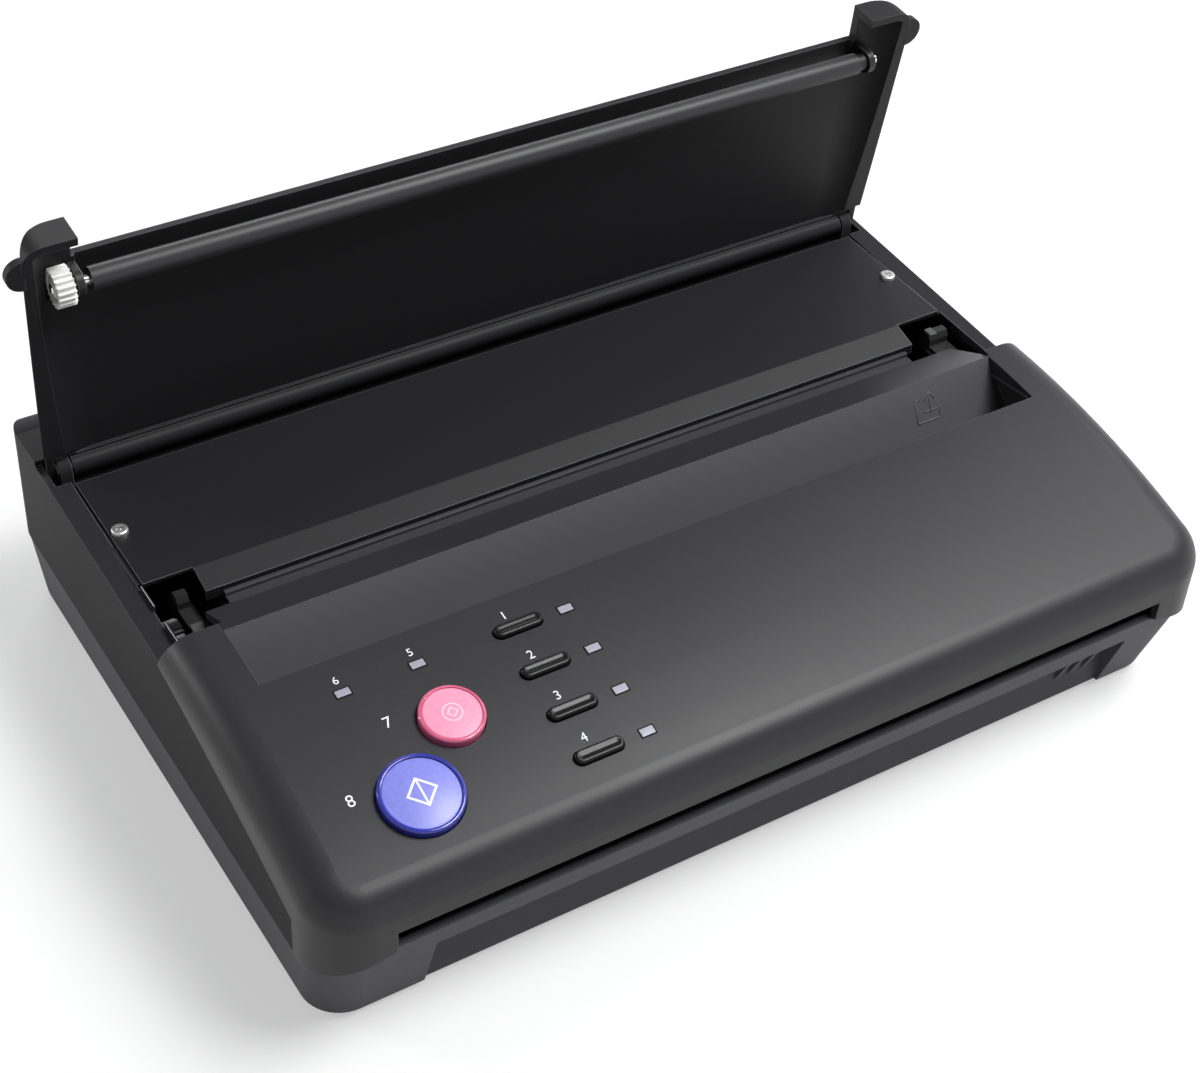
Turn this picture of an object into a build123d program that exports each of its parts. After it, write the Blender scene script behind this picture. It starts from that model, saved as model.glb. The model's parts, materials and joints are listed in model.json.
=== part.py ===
"""Thermal stencil copier: a lid with a rubber platen closes on a thermal head, and a front-loading
document chute feeds the original past an image sensor.

Millimetres. X runs along the machine's width, Y from the front to the back, Z up. The origin is
the centre of the base on the surface that the rubber feet stand on. The lid is modelled open.
"""
from build123d import *
import math
import os

# ---- overall casing ---------------------------------------------------------------------
foot_height = 2.0            # tray's underside above the table
seam_z = 20.5                # joint between base tray and upper housing
tray_lip_z = 31.6            # top of the tray's front wall, the lower edge of the exit slot
wall = 2.4                   # moulded wall of the casings
seam_gap = 0.3               # visible gap between two mouldings
seam_half_width = 138.5
housing_half_width = 139.0
cover_half_width = 140.0
tray_half_width = 137.0      # at the underside
rear_y_seam = 105.5
rear_y_top = 102.5
rear_y_bottom = 99.5
front_y_cover = -103.2
front_y_tray = -102.0        # at tray_lip_z
front_y_bottom = -93.0
rear_corner_radius = 13.0
front_corner_radius = 14.0
tray_corner_radius = 11.0
deck_z = 61.0                # rear deck of the upper housing
housing_top_z = 62.0

# ---- front cover ------------------------------------------------------------------------
crown_radius = 278.0         # the cover's top is an arc seen from the side
crown_y = -10.0
crown_z = 66.1
cover_edge_radius = 10.0
panel_edge_y = -36.5         # rear edge of the control panel, front lip of the chute
ridge_y = -15.8              # ridge between the document chute and the head valley
ridge_foot_y = 1.5
ridge_foot_z = 57.4
slope_left_end = -121.3      # the ridge's rear slope stops here, beside the left pocket
arm_foot_y = -10.6           # rear end of the cover's side arms, at the rail
arm_top_y = -13.2
lip_points = [(-10.6, 57.0), (-52.0, 47.6), (-87.1, 36.9)]   # lower edge of the cover's sides
lip_inner_x = 126.4          # the side lips are outside this, the chute's webs inside
corner_y = -86.0             # the cover's side ends here and its corner begins
corner_slot_x = 120.0        # ends of the tray's raised front
corner_drop = 0.205          # slope of the cover's lower edge round its corners

# ---- document path ----------------------------------------------------------------------
chute_half_width = 123.5
chute_slope = 62.0           # degrees from the horizontal
chute_throat_z = 40.0
chute_front_foot_y = -33.4   # lower end of the chute's front wall
exit_half_width = 120.3
exit_top_z = 38.5
feed_axis_y = -50.0
feed_axis_z = 28.0
feed_rubber_radius = 6.5
feed_end_gap = 14.4          # from the feed roller's rubber to the side plates
feed_shaft_radius = 3.0
guide_z = 33.4               # top of the lower paper guide
guide_sheet = 1.2
sensor_gap = 0.5             # between the feed roller and the sensor's glass
sensor_depth = 18.0
sensor_height = 10.5
glass_thickness = 0.8

# ---- lid --------------------------------------------------------------------------------
hinge_y = 70.6
hinge_z = 60.5
closing_angle = 84.5         # the lid turns this far from open to closed
barrel_radius = 3.0
barrel_half = 130.5
pin_radius = 1.5
pin_length = 8.0
running_clearance = 0.05     # radial, in every turning fit
ear_plate_half = 1.7         # hinge ear's half thickness along X
lid_half_width = cover_half_width
lid_cheek = 15.5             # the rounded cheek beside the flat inner panel
lid_outer_round = 11.0       # and beside the flat outside
lid_panel_half = lid_half_width - lid_cheek
lid_outer_flat = lid_half_width - lid_outer_round
gear_relief = 0.4            # room round the platen's gear in the lid's cheek
lid_outer_z = 64.6           # closed, above the hinge axis
lid_outer_rise = 0.8         # towards the free edge
lid_inner_z = 61.1
lid_inner_rise = 1.5
lid_edge_y = 0.6             # closed, the free edge
lid_edge_sheet = 1.8         # thickness of the free edge, above the platen
lid_ear_y = -10.0            # closed, the front of the ears
lid_back_radius = 4.3
lid_corner_radius = 11.5
rim_wall = 2.4
rail_rear_z = 58.5           # rail top at rail_rear_y
rail_rear_y = 57.0
rail_slope = 0.0414
rim_gap = 0.35               # closed lid's rim above the rail
tab_reach = 4.0
tab_y = -2.2
tab_radius = 4.6
tab_thickness = 2.2

# ---- platen -----------------------------------------------------------------------------
platen_y = 5.2               # closed
platen_z = 57.6
platen_radius = 3.3
platen_half = 121.9
shaft_radius = 1.45
bracket_sheet = 2.0
bracket_left_x = -126.0
bracket_right_x = 125.2
bracket_radius = 3.6
bracket_seat = 0.85          # the cheek curves away above the brackets by about this much

# ---- head valley ------------------------------------------------------------------------
head_half = 113.0
head_top_z = 54.0
head_strip_thickness = 0.9
driver_cover_height = 1.3    # raised cover over the head's driver chips, along its rear
driver_cover_width = 1.2
head_front_y = 2.4
head_rear_y = 8.3
sink_height = 6.4
sink_groove = 1.8            # depth of its cooling grooves
sink_front_y = -2.5
sink_rear_y = 13.0
spring_rise = 3.0
spring_sheet = 0.4
channel_sheet = 1.2
channel_depth = 3.2

# ---- deck plate -------------------------------------------------------------------------
plate_sheet = 1.0
plate_z = 58.6
plate_side_gap = 0.8         # from the plate to the rails
plate_rear_y = 64.6
bend_y = 17.4
plate_front_y = 9.6
plate_front_z = 56.5
plate_flange = 3.4
pocket_left_x = 117.7
pocket_right_x = 116.0
screw_inset = 2.9            # from the plate's side edge to its screws
screw_y = 40.0
screw_head_radius = 2.35
screw_head_height = 1.3
rail_width = 6.4
opening_half = housing_half_width - rail_width      # the housing's opening, between the rails
plate_half = opening_half - plate_side_gap
screw_x = plate_half - screw_inset
ledge_width = 6.0
trough_wall = 2.0
trough_half = housing_half_width - trough_wall      # hinge trough
trough_front_y = 65.4
trough_rear_y = 75.8
trough_floor_z = 54.4

# ---- chassis and gears ------------------------------------------------------------------
side_plate_x = 122.6         # outer face of the chassis side plates
side_plate_sheet = 1.2
feed_rubber_half = side_plate_x - side_plate_sheet - feed_end_gap
gear_plate_x = 134.4         # outer face of the plate outside the gears
gear_plate_sheet = 1.2
gear_x0 = -132.0
gear_width = 5.0
gear_module = 0.5
gear_addendum = 0.92         # in modules
gear_backlash = 0.22
centre_spread = 0.15         # added to each pair's centre distance
platen_teeth = 20
drive_teeth = 24
idler_teeth = 40
pinion_teeth = 16
transfer_teeth = 72
feed_teeth = 48
axle_radius = 1.5
motor_axis_y = 20.0
motor_axis_z = 24.5
motor_side = 32.0
motor_length = 21.0
tray_floor_z = 4.6           # inside of the base tray

# ---- controls ---------------------------------------------------------------------------
pill_x = -56.5
pill_ys = [-47.9, -61.9, -75.4, -88.5]
pill_length = 14.0
pill_width = 4.0
pill_proud = 1.5
window_x = -42.3
window_length = 4.2
window_width = 2.5
lamp_places = [(-85.4, -47.7), (-106.3, -47.8)]
copy_place = (-102.8, -82.0)
copy_radius = 11.0
copy_face_radius = 9.9
stop_place = (-85.5, -65.6)
stop_radius = 8.6
stop_face_radius = 7.6
button_clearance = 0.3
button_proud = 2.2
button_travel = 0.6
board_depth = 9.0            # key board below the cover's outer surface
board_sheet = 1.6
switch_side = 6.0
switch_height = 3.4
board_y = -68.0
board_x = -78.0
board_length = 92.0
board_width = 50.0
seat_gap = 0.25              # between stacked parts that lie at a small angle

# ---- rear connectors and boards ---------------------------------------------------------
inlet_x = 96.0
inlet_z = 38.0
inlet_width = 27.0
inlet_height = 19.6
switch_x = 62.0
rocker_width = 10.4
rocker_height = 18.0
bezel_width = 14.6
bezel_height = 21.0
flange_sheet = 1.0
standoff_height = 5.0


# ---- helpers ----------------------------------------------------------------------------
def block(x0, x1, y0, y1, z0, z1):
    """Box between two opposite corners."""
    return Pos((x0 + x1) / 2, (y0 + y1) / 2, (z0 + z1) / 2) * Box(x1 - x0, y1 - y0, z1 - z0)


def prism_x(points, x0, x1):
    """Side-view outline of (y, z) points, extruded along X."""
    face = make_face(Polyline(*[(x0, y, z) for y, z in points], close=True))
    return extrude(face, amount=x1 - x0, dir=(1, 0, 0))


def disc_x(y, z, radius, x0, x1):
    """Cylinder along X."""
    return Pos((x0 + x1) / 2, y, z) * Rot(0, 90, 0) * Cylinder(radius, x1 - x0)


def both_sides(shape):
    """The shape and its mirror image across the machine's middle plane."""
    return [shape, mirror(shape, about=Plane.YZ)]


def plan_face(half_width, y_front, y_rear, front_radius, rear_radius, z):
    """The casing's outline seen from above, with rounded corners."""
    middle = (y_front + y_rear) / 2
    face = Pos(0, middle, z) * Rectangle(2 * half_width, y_rear - y_front)
    if front_radius > 0:
        face = fillet(face.vertices().filter_by(lambda v: v.Y < middle), front_radius)
    if rear_radius > 0:
        face = fillet(face.vertices().sort_by(Axis.Y)[-2:], rear_radius)
    return face


def rail_z(y):
    """Height of the side rails at a depth."""
    return rail_rear_z + rail_slope * (y - rail_rear_y)


def crown_height(y):
    """Height of the cover's outer surface at a depth, away from its rounded edges."""
    return crown_z - crown_radius + math.sqrt(crown_radius ** 2 - (y - crown_y) ** 2)


def crown_tilt(y):
    """Forward tilt of the cover's surface in degrees."""
    return math.degrees(math.asin((crown_y - y) / crown_radius))


def on_cover(x, y):
    """Location on the cover's outer surface, with Z along its normal."""
    return Pos(x, y, crown_height(y)) * Rot(crown_tilt(y), 0, 0)


def open_lid(shape):
    """Turn what was drawn with the lid closed to where it is with the lid open."""
    return shape.rotate(Axis((0, hinge_y, hinge_z), (1, 0, 0)), -closing_angle)


def save(name, *solids):
    """Write one node; several solids stay separate."""
    shape = solids[0] if len(solids) == 1 else Compound(children=list(solids))
    export_step(shape, os.path.join("parts", name + ".step"))


# ---- casings ----------------------------------------------------------------------------
def corner_region(side, shift, above):
    """Half space above or below the slanted lower edge of the cover's corner."""
    run, reach = 90.0, 60.0
    height = tray_lip_z + shift
    step = run * corner_drop * math.sqrt(2)
    far = reach if above else -reach
    plane = Plane(origin=(corner_slot_x, front_y_cover, height), x_dir=(1, 1, 0), z_dir=(1, -1, 0))
    outline = Polyline((-run, step), (run, -step), (run, -step + far), (-run, step + far), close=True)
    region = extrude(plane * make_face(outline), amount=reach, both=True)
    region = region & block(corner_slot_x, 160, -130, corner_y, -60, 130)
    return region if side > 0 else mirror(region, about=Plane.YZ)


def tray_blank(inset, z0):
    """Solid of the tray's outer form, drawn in by the wall."""
    def level(z):
        share = (z - foot_height) / (tray_lip_z - foot_height)
        half = tray_half_width + (housing_half_width - tray_half_width) * share
        front = front_y_bottom + (front_y_tray - front_y_bottom) * share
        rear_share = (z - foot_height) / (seam_z - foot_height)
        rear = rear_y_bottom + (rear_y_seam - rear_y_bottom) * rear_share
        return plan_face(half - inset, front + inset, rear - inset,
                         tray_corner_radius - inset, rear_corner_radius - inset, z)
    return loft([level(z0), level(tray_lip_z)])


def recess_solid(grow, depth_grow, top_grow):
    """The undercut under the tray's front, with slanted ends."""
    back = recess_back_y + depth_grow
    left, right = -recess_left_x - grow, recess_right_x + grow
    outline = Polyline((left, -120), (right, -120), (right, back), (left, back), close=True)
    return extrude(Pos(0, 0, -10) * make_face(outline), amount=10 + recess_top_z + top_grow, dir=(0, 0, 1))


recess_left_x = 108.0
recess_right_x = 114.5
recess_back_y = -92.0
recess_top_z = 23.5
tray_screws = [(-118.0, -66.0), (118.0, -66.0), (-116.0, 92.5), (116.0, 92.5), (0.0, 92.5)]
foot_places = [(-119.0, -80.0), (119.0, -80.0), (-117.0, 80.0), (117.0, 80.0)]
foot_radius = 8.0
foot_seat = 1.0
boss_radius = 3.6
pilot_radius = 1.2


def make_base_tray():
    """Lower casing: drafted walls, undercut front, screw bosses, ribs and vents."""
    outer = tray_blank(0, foot_height)
    shell = outer - tray_blank(wall, tray_floor_z)
    shell = shell + (recess_solid(wall, wall, wall) & outer)
    shell = shell - recess_solid(0, 0, 0)
    shell = shell - block(-160, 160, corner_y, 160, seam_z - seam_gap / 2, 60)
    for side in (-1, 1):
        shell = shell - corner_region(side, -seam_gap / 2, True)
    for x, y in tray_screws:
        boss = Pos(x, y, (tray_floor_z + seam_z) / 2 - 1) * Cylinder(boss_radius, seam_z - tray_floor_z)
        hole = Pos(x, y, 10) * Cylinder(pilot_radius + 0.3, 30)
        pocket = Pos(x, y, foot_height) * Cylinder(boss_radius - 1.0, 4)
        shell = shell + boss - hole - pocket
    for x, y in foot_places:
        shell = shell - Pos(x, y, foot_height) * Cylinder(foot_radius + 0.2, 2 * foot_seat)
    for row in range(7):
        shell = shell - block(-40, 40, 30 + 6 * row, 32.5 + 6 * row, 0, tray_floor_z + 0.5)
    for x in (recess_right_x - 7, recess_right_x - 12, recess_right_x - 17):
        rib = prism_x([(recess_back_y, recess_top_z), (-98.0, recess_top_z), (recess_back_y, 9.0)], x, x + 1.4)
        shell = shell + rib
    return shell


def make_feet():
    """Four rubber feet seated in shallow rounds under the tray."""
    foot = Cylinder(foot_radius, foot_height + foot_seat)
    foot = chamfer(foot.edges().group_by(Axis.Z)[0], 0.6)
    return [Pos(x, y, (foot_height + foot_seat) / 2) * foot for x, y in foot_places]


def housing_profile(drop, lip_shift):
    """Side view of the upper housing, lowered by the wall for its inside."""
    lip = [(y, z - lip_shift - drop) for y, z in lip_points]
    rail_front = (arm_foot_y, rail_z(arm_foot_y) - drop)
    rail_back = (trough_rear_y, rail_z(trough_rear_y) - drop)
    low = seam_z - 0.5 if drop == 0 else seam_z - 5
    edges = [
        Line((0, corner_y, low), (0, corner_y, lip[2][1])),
        ThreePointArc((0, corner_y, lip[2][1]), (0, lip[1][0], lip[1][1]), (0, lip[0][0], lip[0][1])),
        Polyline((0, lip[0][0], lip[0][1]), (0, *rail_front), (0, *rail_back),
                 (0, trough_rear_y, deck_z - drop), (0, rear_y_top - 12, deck_z - 0.8 - drop)),
        ThreePointArc((0, rear_y_top - 12, deck_z - 0.8 - drop), (0, rear_y_top - 2.2, deck_z - 3.6 - drop),
                      (0, rear_y_top + 1, deck_z - 10 - drop)),
        Polyline((0, rear_y_top + 1, deck_z - 10 - drop), (0, rear_y_seam + 6, deck_z - 10 - drop),
                 (0, rear_y_seam + 6, low), (0, corner_y, low)),
    ]
    face = make_face(edges)
    return Pos(-160, 0, 0) * extrude(face, amount=320, dir=(1, 0, 0))


def housing_blank(inset):
    """Plan of the upper housing, drafted from the seam to the top."""
    front = corner_y - (10 if inset else 0)
    low, high = (seam_z - 1 if inset else seam_z), housing_top_z
    return loft([
        plan_face(seam_half_width - inset, front, rear_y_seam - inset, 0, rear_corner_radius - inset, low),
        plan_face(housing_half_width - inset, front, rear_y_top - inset, 0, rear_corner_radius - inset, high),
    ])


def hinge_ear(side):
    """Upright ear of the housing that carries a hinge pin."""
    x = side * (barrel_half + 0.6 + ear_plate_half)
    post = block(x - ear_plate_half, x + ear_plate_half, hinge_y - 3.2, hinge_y + 3.2,
                 trough_floor_z - 0.4, hinge_z)
    eye = disc_x(hinge_y, hinge_z, 3.2, x - ear_plate_half, x + ear_plate_half)
    bore = disc_x(hinge_y, hinge_z, pin_radius + running_clearance, x - 3, x + 3)
    return post + eye - bore


def make_upper_housing():
    """Side walls, rails, hinge trough, rear deck and rear wall in one moulding."""
    outer = housing_blank(0) & housing_profile(0, seam_gap)
    shell = outer - (housing_blank(wall) & housing_profile(wall, seam_gap))
    trough = block(-trough_half - 1.2, trough_half + 1.2, trough_front_y - wall, trough_rear_y + wall,
                   trough_floor_z - wall, deck_z)
    shell = shell + (trough & outer)
    shell = shell - block(-opening_half, opening_half, -120, trough_front_y - wall, seam_z + 4, 80)
    shell = shell - block(-trough_half, trough_half, trough_front_y, trough_rear_y, trough_floor_z, 80)
    shell = shell - block(-opening_half, opening_half, trough_front_y - wall - 1, trough_front_y + 1,
                          plate_z - plate_sheet, 80)
    for ledge in both_sides(block(opening_half - ledge_width, opening_half + 0.5, bend_y + 2,
                                  trough_front_y - 1, plate_z - plate_sheet - 2.2, plate_z - plate_sheet)):
        shell = shell + ledge
    web = block(opening_half, seam_half_width - 1.0, bend_y + 2, trough_front_y, plate_z - 3.2, plate_z - 2.4)
    for side_web in both_sides(web):
        shell = shell + side_web
    for side in (-1, 1):
        shell = shell + hinge_ear(side)
        boss = Pos(side * screw_x, screw_y, plate_z - plate_sheet - 4) * Cylinder(2.6, 8)
        pilot = Pos(side * screw_x, screw_y, plate_z) * Cylinder(pilot_radius, 30)
        shell = shell + boss - pilot
    for x, y in tray_screws[2:]:
        boss_top = deck_z - wall - 0.4
        boss = Pos(x, y, (seam_z + 0.5 + boss_top) / 2) * Cylinder(boss_radius, boss_top - seam_z)
        shell = shell + boss - Pos(x, y, seam_z) * Cylinder(pilot_radius, 20)
    shell = shell - block(inlet_x - inlet_width / 2, inlet_x + inlet_width / 2, 96, 112,
                          inlet_z - inlet_height / 2, inlet_z + inlet_height / 2)
    shell = shell - block(switch_x - rocker_width / 2 - 1.3, switch_x + rocker_width / 2 + 1.3, 96, 112,
                          inlet_z - rocker_height / 2 - 0.8, inlet_z + rocker_height / 2 + 0.8)
    return shell


# ---- front cover ------------------------------------------------------------------------
def cover_blank(inset):
    """The cover's outer form: rounded plan, crowned top, rounded top edges."""
    plan = plan_face(cover_half_width - inset, front_y_cover + inset, 30, front_corner_radius - inset, 0, 18)
    crown = disc_x(crown_y, crown_z - crown_radius, crown_radius - inset, -200, 200)
    form = extrude(plan, amount=60, dir=(0, 0, 1)) & crown
    top = form.faces().sort_by(Axis.Z)[-1]
    rim = [edge for edge in top.edges() if edge.center().Y < 25]
    return fillet(rim, cover_edge_radius - inset)


def chute_floor_y(z):
    """Depth of the chute's floor at a height."""
    return ridge_y - (crown_height(ridge_y) - z) / math.tan(math.radians(chute_slope))


def chute_front_y(z):
    """Depth of the chute's front wall at a height."""
    top = crown_height(panel_edge_y)
    return panel_edge_y + (top - z) / (top - chute_throat_z) * (chute_front_foot_y - panel_edge_y)


def chute_void(x_half, rear_grow, front_grow):
    """Space between the chute's floor and its front wall."""
    high, low = 75.0, chute_throat_z - 8
    return prism_x([(chute_floor_y(low) + rear_grow, low), (chute_floor_y(high) + rear_grow, high),
                    (chute_front_y(high) - front_grow, high), (chute_front_y(low) - front_grow, low)],
                   -x_half, x_half)


def rear_cut():
    """What the cover leaves free behind its ridge and behind its side arms."""
    ridge_z = crown_height(ridge_y)
    middle = prism_x([(ridge_foot_y, ridge_foot_z), (ridge_y, ridge_z), (ridge_y, 90), (60, 90), (60, 0),
                      (ridge_foot_y, 0)], -chute_half_width - 0.5, chute_half_width + 0.5)
    arms = prism_x([(arm_foot_y, 0), (arm_foot_y, 57), (arm_top_y, 67.5), (arm_top_y, 90), (60, 90), (60, 0)],
                   -160, 160)
    keep = block(-chute_half_width - 0.5, chute_half_width + 0.5, -40, 60, -10, 100)
    return middle, arms - keep


def lip_cut():
    """Region below the cover's side lips and behind its corners, outside the chute's webs."""
    rear, mid, front = lip_points
    edges = [
        ThreePointArc((0, *front), (0, *mid), (0, *rear)),
        Polyline((0, *rear), (0, 60, rear[1]), (0, 60, 0), (0, corner_y, 0), (0, corner_y, front[1]),
                 (0, *front)),
    ]
    below = Pos(-160, 0, 0) * extrude(make_face(edges), amount=320, dir=(1, 0, 0))
    return below - block(-lip_inner_x, lip_inner_x, corner_y, 60, -10, 90)


def pill(length, width, height):
    """Upright prism with round ends, its middle at the origin's height."""
    return extrude(SlotOverall(length, width), amount=height / 2, both=True)


def make_front_cover():
    """Crowned top with the control panel, the chute cut through it, and its screw bosses."""
    outer = cover_blank(0)
    inner = cover_blank(wall)
    floor_web = prism_x([(chute_floor_y(chute_throat_z) + wall, chute_throat_z),
                         (chute_floor_y(66) + wall, 66), (chute_floor_y(66), 66),
                         (chute_floor_y(chute_throat_z), chute_throat_z)],
                        -chute_half_width - wall, chute_half_width + wall)
    front_web = prism_x([(chute_front_y(chute_throat_z + 7) - wall, chute_throat_z + 7),
                         (chute_front_y(64) - wall, 64), (chute_front_y(64), 64),
                         (chute_front_y(chute_throat_z + 7), chute_throat_z + 7)],
                        -chute_half_width - wall, chute_half_width + wall)
    end_web = chute_void(chute_half_width + wall, wall, wall) - chute_void(chute_half_width, 9, 9)
    end_web = end_web & block(-160, 160, -60, 10, chute_throat_z + 4, 66)
    ridge_z = crown_height(ridge_y)
    ridge_web = prism_x([(ridge_foot_y, ridge_foot_z), (ridge_y, ridge_z), (ridge_y - 2, ridge_z - 4),
                         (ridge_foot_y - 0.6, ridge_foot_z - wall), (ridge_foot_y, ridge_foot_z - wall)],
                        -chute_half_width - 0.5, chute_half_width + 0.5)
    shell = outer - inner
    shell = shell + ((floor_web + front_web + end_web + ridge_web) & outer)
    middle, arms = rear_cut()
    shell = shell - middle - arms
    shell = shell - block(-chute_half_width - 0.6, slope_left_end, arm_foot_y + 0.6, ridge_foot_y + 1, 40, 70)
    shell = shell - chute_void(chute_half_width, 0, 0)
    shell = shell - lip_cut()
    shell = shell - block(-exit_half_width, exit_half_width, -120, corner_y - 4, 0, exit_top_z)
    for side in (-1, 1):
        shell = shell - corner_region(side, seam_gap / 2, False)
    for y in pill_ys:
        shell = shell - on_cover(pill_x, y) * pill(pill_length + 2 * button_clearance,
                                                   pill_width + 2 * button_clearance, 12)
        shell = shell - on_cover(window_x, y) * Box(window_length, window_width, 12)
    for x, y in lamp_places:
        shell = shell - on_cover(x, y) * Box(window_length, window_width, 12)
    for place, radius in ((copy_place, copy_radius), (stop_place, stop_radius)):
        shell = shell - on_cover(*place) * Cylinder(radius + button_clearance, 12)
    for x, y in board_posts:
        low, high = board_top_depth(x, y) - seat_gap, wall - 0.3
        post = on_cover(x, y) * Pos(0, 0, -(low + high) / 2) * Cylinder(2.4, low - high)
        shell = shell + (post & inner)
    return shell


# ---- controls ---------------------------------------------------------------------------
board_posts = [(-118.0, -56.0), (-118.0, -88.0), (-72.0, -89.0), (-35.5, -82.0), (-35.5, -54.0), (-72.0, -47.0)]


def board_location():
    """Middle of the key board's top face, tilted as the cover is above it."""
    return on_cover(board_x, board_y) * Pos(0, 0, -board_depth)


def board_top_depth(x, y):
    """Distance from the cover's outer surface down its normal to the key board's top."""
    here, board = on_cover(x, y), board_location()
    tilt_here, tilt_board = math.radians(crown_tilt(y)), math.radians(crown_tilt(board_y))
    normal = Vector(0, -math.sin(tilt_board), math.cos(tilt_board))
    along = Vector(0, -math.sin(tilt_here), math.cos(tilt_here))
    return (here.position - board.position).dot(normal) / along.dot(normal)


def stem(x, y, radius, top):
    """Stem of a button, from below its face down to its switch."""
    low = -(board_top_depth(x, y) - switch_height - button_travel - seat_gap)
    return Pos(0, 0, (top + low) / 2) * Cylinder(radius, top - low)


def make_round_button(place, radius, face_radius):
    """Rim with a flange below the cover; its face is a separate inlay."""
    x, y = place
    cap = Pos(0, 0, (button_proud - wall - 0.4) / 2) * Cylinder(radius, button_proud + wall + 0.4)
    cap = fillet(cap.edges().group_by(Axis.Z)[-1], 0.9)
    flange = Pos(0, 0, -wall - 0.9) * Cylinder(radius + 1.0, 1.0)
    cap = cap + flange + stem(x, y, 2.0, -wall - 1.0)
    seat = Pos(0, 0, button_proud) * Cylinder(face_radius, 1.6)
    return on_cover(x, y) * (cap - seat)


def make_button_face(place, face_radius):
    """Coloured inlay, slightly domed, seated in the button's rim."""
    x, y = place
    dome_radius = 60.0
    low = button_proud - 0.8
    blank = Pos(0, 0, low + 0.75) * Cylinder(face_radius - 0.04, 1.5)
    dome = Pos(0, 0, button_proud + 0.35 - dome_radius) * Sphere(dome_radius)
    return on_cover(x, y) * (blank & dome)


def make_mode_button(y):
    """Pill-shaped key with a flange below the cover and a stem to its switch."""
    height = pill_proud + wall + 0.4
    cap = Pos(0, 0, pill_proud - height / 2) * pill(pill_length, pill_width, height)
    cap = fillet(cap.edges().group_by(Axis.Z)[-1], 0.6)
    flange = Pos(0, 0, -wall - 0.9) * pill(pill_length + 2, pill_width + 2, 1.0)
    return on_cover(pill_x, y) * (cap + flange + stem(pill_x, y, 1.5, -wall - 1.0))


def make_window(x, y):
    """Light pipe: flush with the cover's surface, its foot reaching to the key board."""
    depth = board_top_depth(x, y) - seat_gap
    pipe = Pos(0, 0, (0.15 - depth) / 2) * Box(window_length - 0.1, window_width - 0.1, depth + 0.15)
    flange = Pos(0, 0, -wall - 0.6) * Box(window_length + 1.6, window_width + 1.4, 0.8)
    return on_cover(x, y) * (pipe + flange)


def switch_places():
    """Under each button's stem."""
    return [(pill_x, y) for y in pill_ys] + [copy_place, stop_place]


def make_key_board():
    """Board that carries the switches below the control panel."""
    board = board_location() * Pos(0, 0, -board_sheet / 2) * Box(board_length, board_width, board_sheet)
    for x, y in board_posts:
        drill = on_cover(x, y) * Pos(0, 0, -board_depth) * Cylinder(1.3, 12)
        board = board - drill
    return board


def make_key_switches():
    """Tactile switches soldered to the key board, square to it."""
    switches = []
    tilt = crown_tilt(board_y)
    for x, y in switch_places():
        top = on_cover(x, y) * Pos(0, 0, -board_top_depth(x, y))
        foot = Location(top.position) * Rot(tilt, 0, 0)
        body = Pos(0, 0, switch_height / 2 - 0.4) * Box(switch_side, switch_side, switch_height - 0.8)
        knob = Pos(0, 0, switch_height - 0.5) * Cylinder(1.7, 0.8)
        switches.append(foot * (body + knob))
    return switches


# ---- deck plate and head ----------------------------------------------------------------
def make_inner_plate():
    """Black sheet-metal deck: flat, bent down to the head slot, notched for the platen's ends."""
    outline = [(plate_rear_y, plate_z), (bend_y, plate_z), (plate_front_y, plate_front_z),
               (plate_front_y, plate_front_z - plate_flange),
               (plate_front_y + plate_sheet, plate_front_z - plate_flange),
               (plate_front_y + plate_sheet, plate_front_z - plate_sheet * 0.8),
               (bend_y + 0.2, plate_z - plate_sheet), (plate_rear_y, plate_z - plate_sheet)]
    plate = prism_x(outline, -plate_half, plate_half)
    plate = plate - block(-160, -pocket_left_x, -20, bend_y + 0.4, 40, 70)
    plate = plate - block(pocket_right_x, 160, -20, bend_y + 0.4, 40, 70)
    for side in (-1, 1):
        plate = plate - Pos(side * screw_x, screw_y, plate_z) * Cylinder(1.5, 10)
    return plate


def make_deck_screws():
    """Pan-head screws with a cross recess."""
    screws = []
    for side in (-1, 1):
        head = Pos(0, 0, screw_head_height / 2) * Cylinder(screw_head_radius, screw_head_height)
        head = fillet(head.edges().group_by(Axis.Z)[-1], 0.6)
        cross = Pos(0, 0, screw_head_height) * (Box(2.6, 0.6, 1.6) + Box(0.6, 2.6, 1.6))
        shank = Pos(0, 0, -3.0) * Cylinder(pilot_radius - 0.02, 6.0)
        screws.append(Pos(side * screw_x, screw_y, plate_z) * (head - cross + shank))
    return screws


sink_bottom_z = head_top_z - head_strip_thickness - sink_height
channel_top_z = sink_bottom_z - spring_rise


def make_head_sink():
    """Aluminium bar under the print head, with cooling grooves along it."""
    top = head_top_z - head_strip_thickness
    outline = [(sink_front_y, sink_bottom_z)]
    grooves = 3
    pitch = (sink_rear_y - sink_front_y) / (2 * grooves + 1)
    for index in range(grooves):
        left = sink_front_y + pitch * (2 * index + 1)
        outline += [(left, sink_bottom_z), (left, sink_bottom_z + sink_groove),
                    (left + pitch, sink_bottom_z + sink_groove), (left + pitch, sink_bottom_z)]
    outline += [(sink_rear_y, sink_bottom_z), (sink_rear_y, top - 3.6), (head_rear_y, top - 3.6),
                (head_rear_y, top), (head_front_y - 2.2, top), (sink_front_y, top - 3.0)]
    return prism_x(outline, -head_half, head_half)


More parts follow.
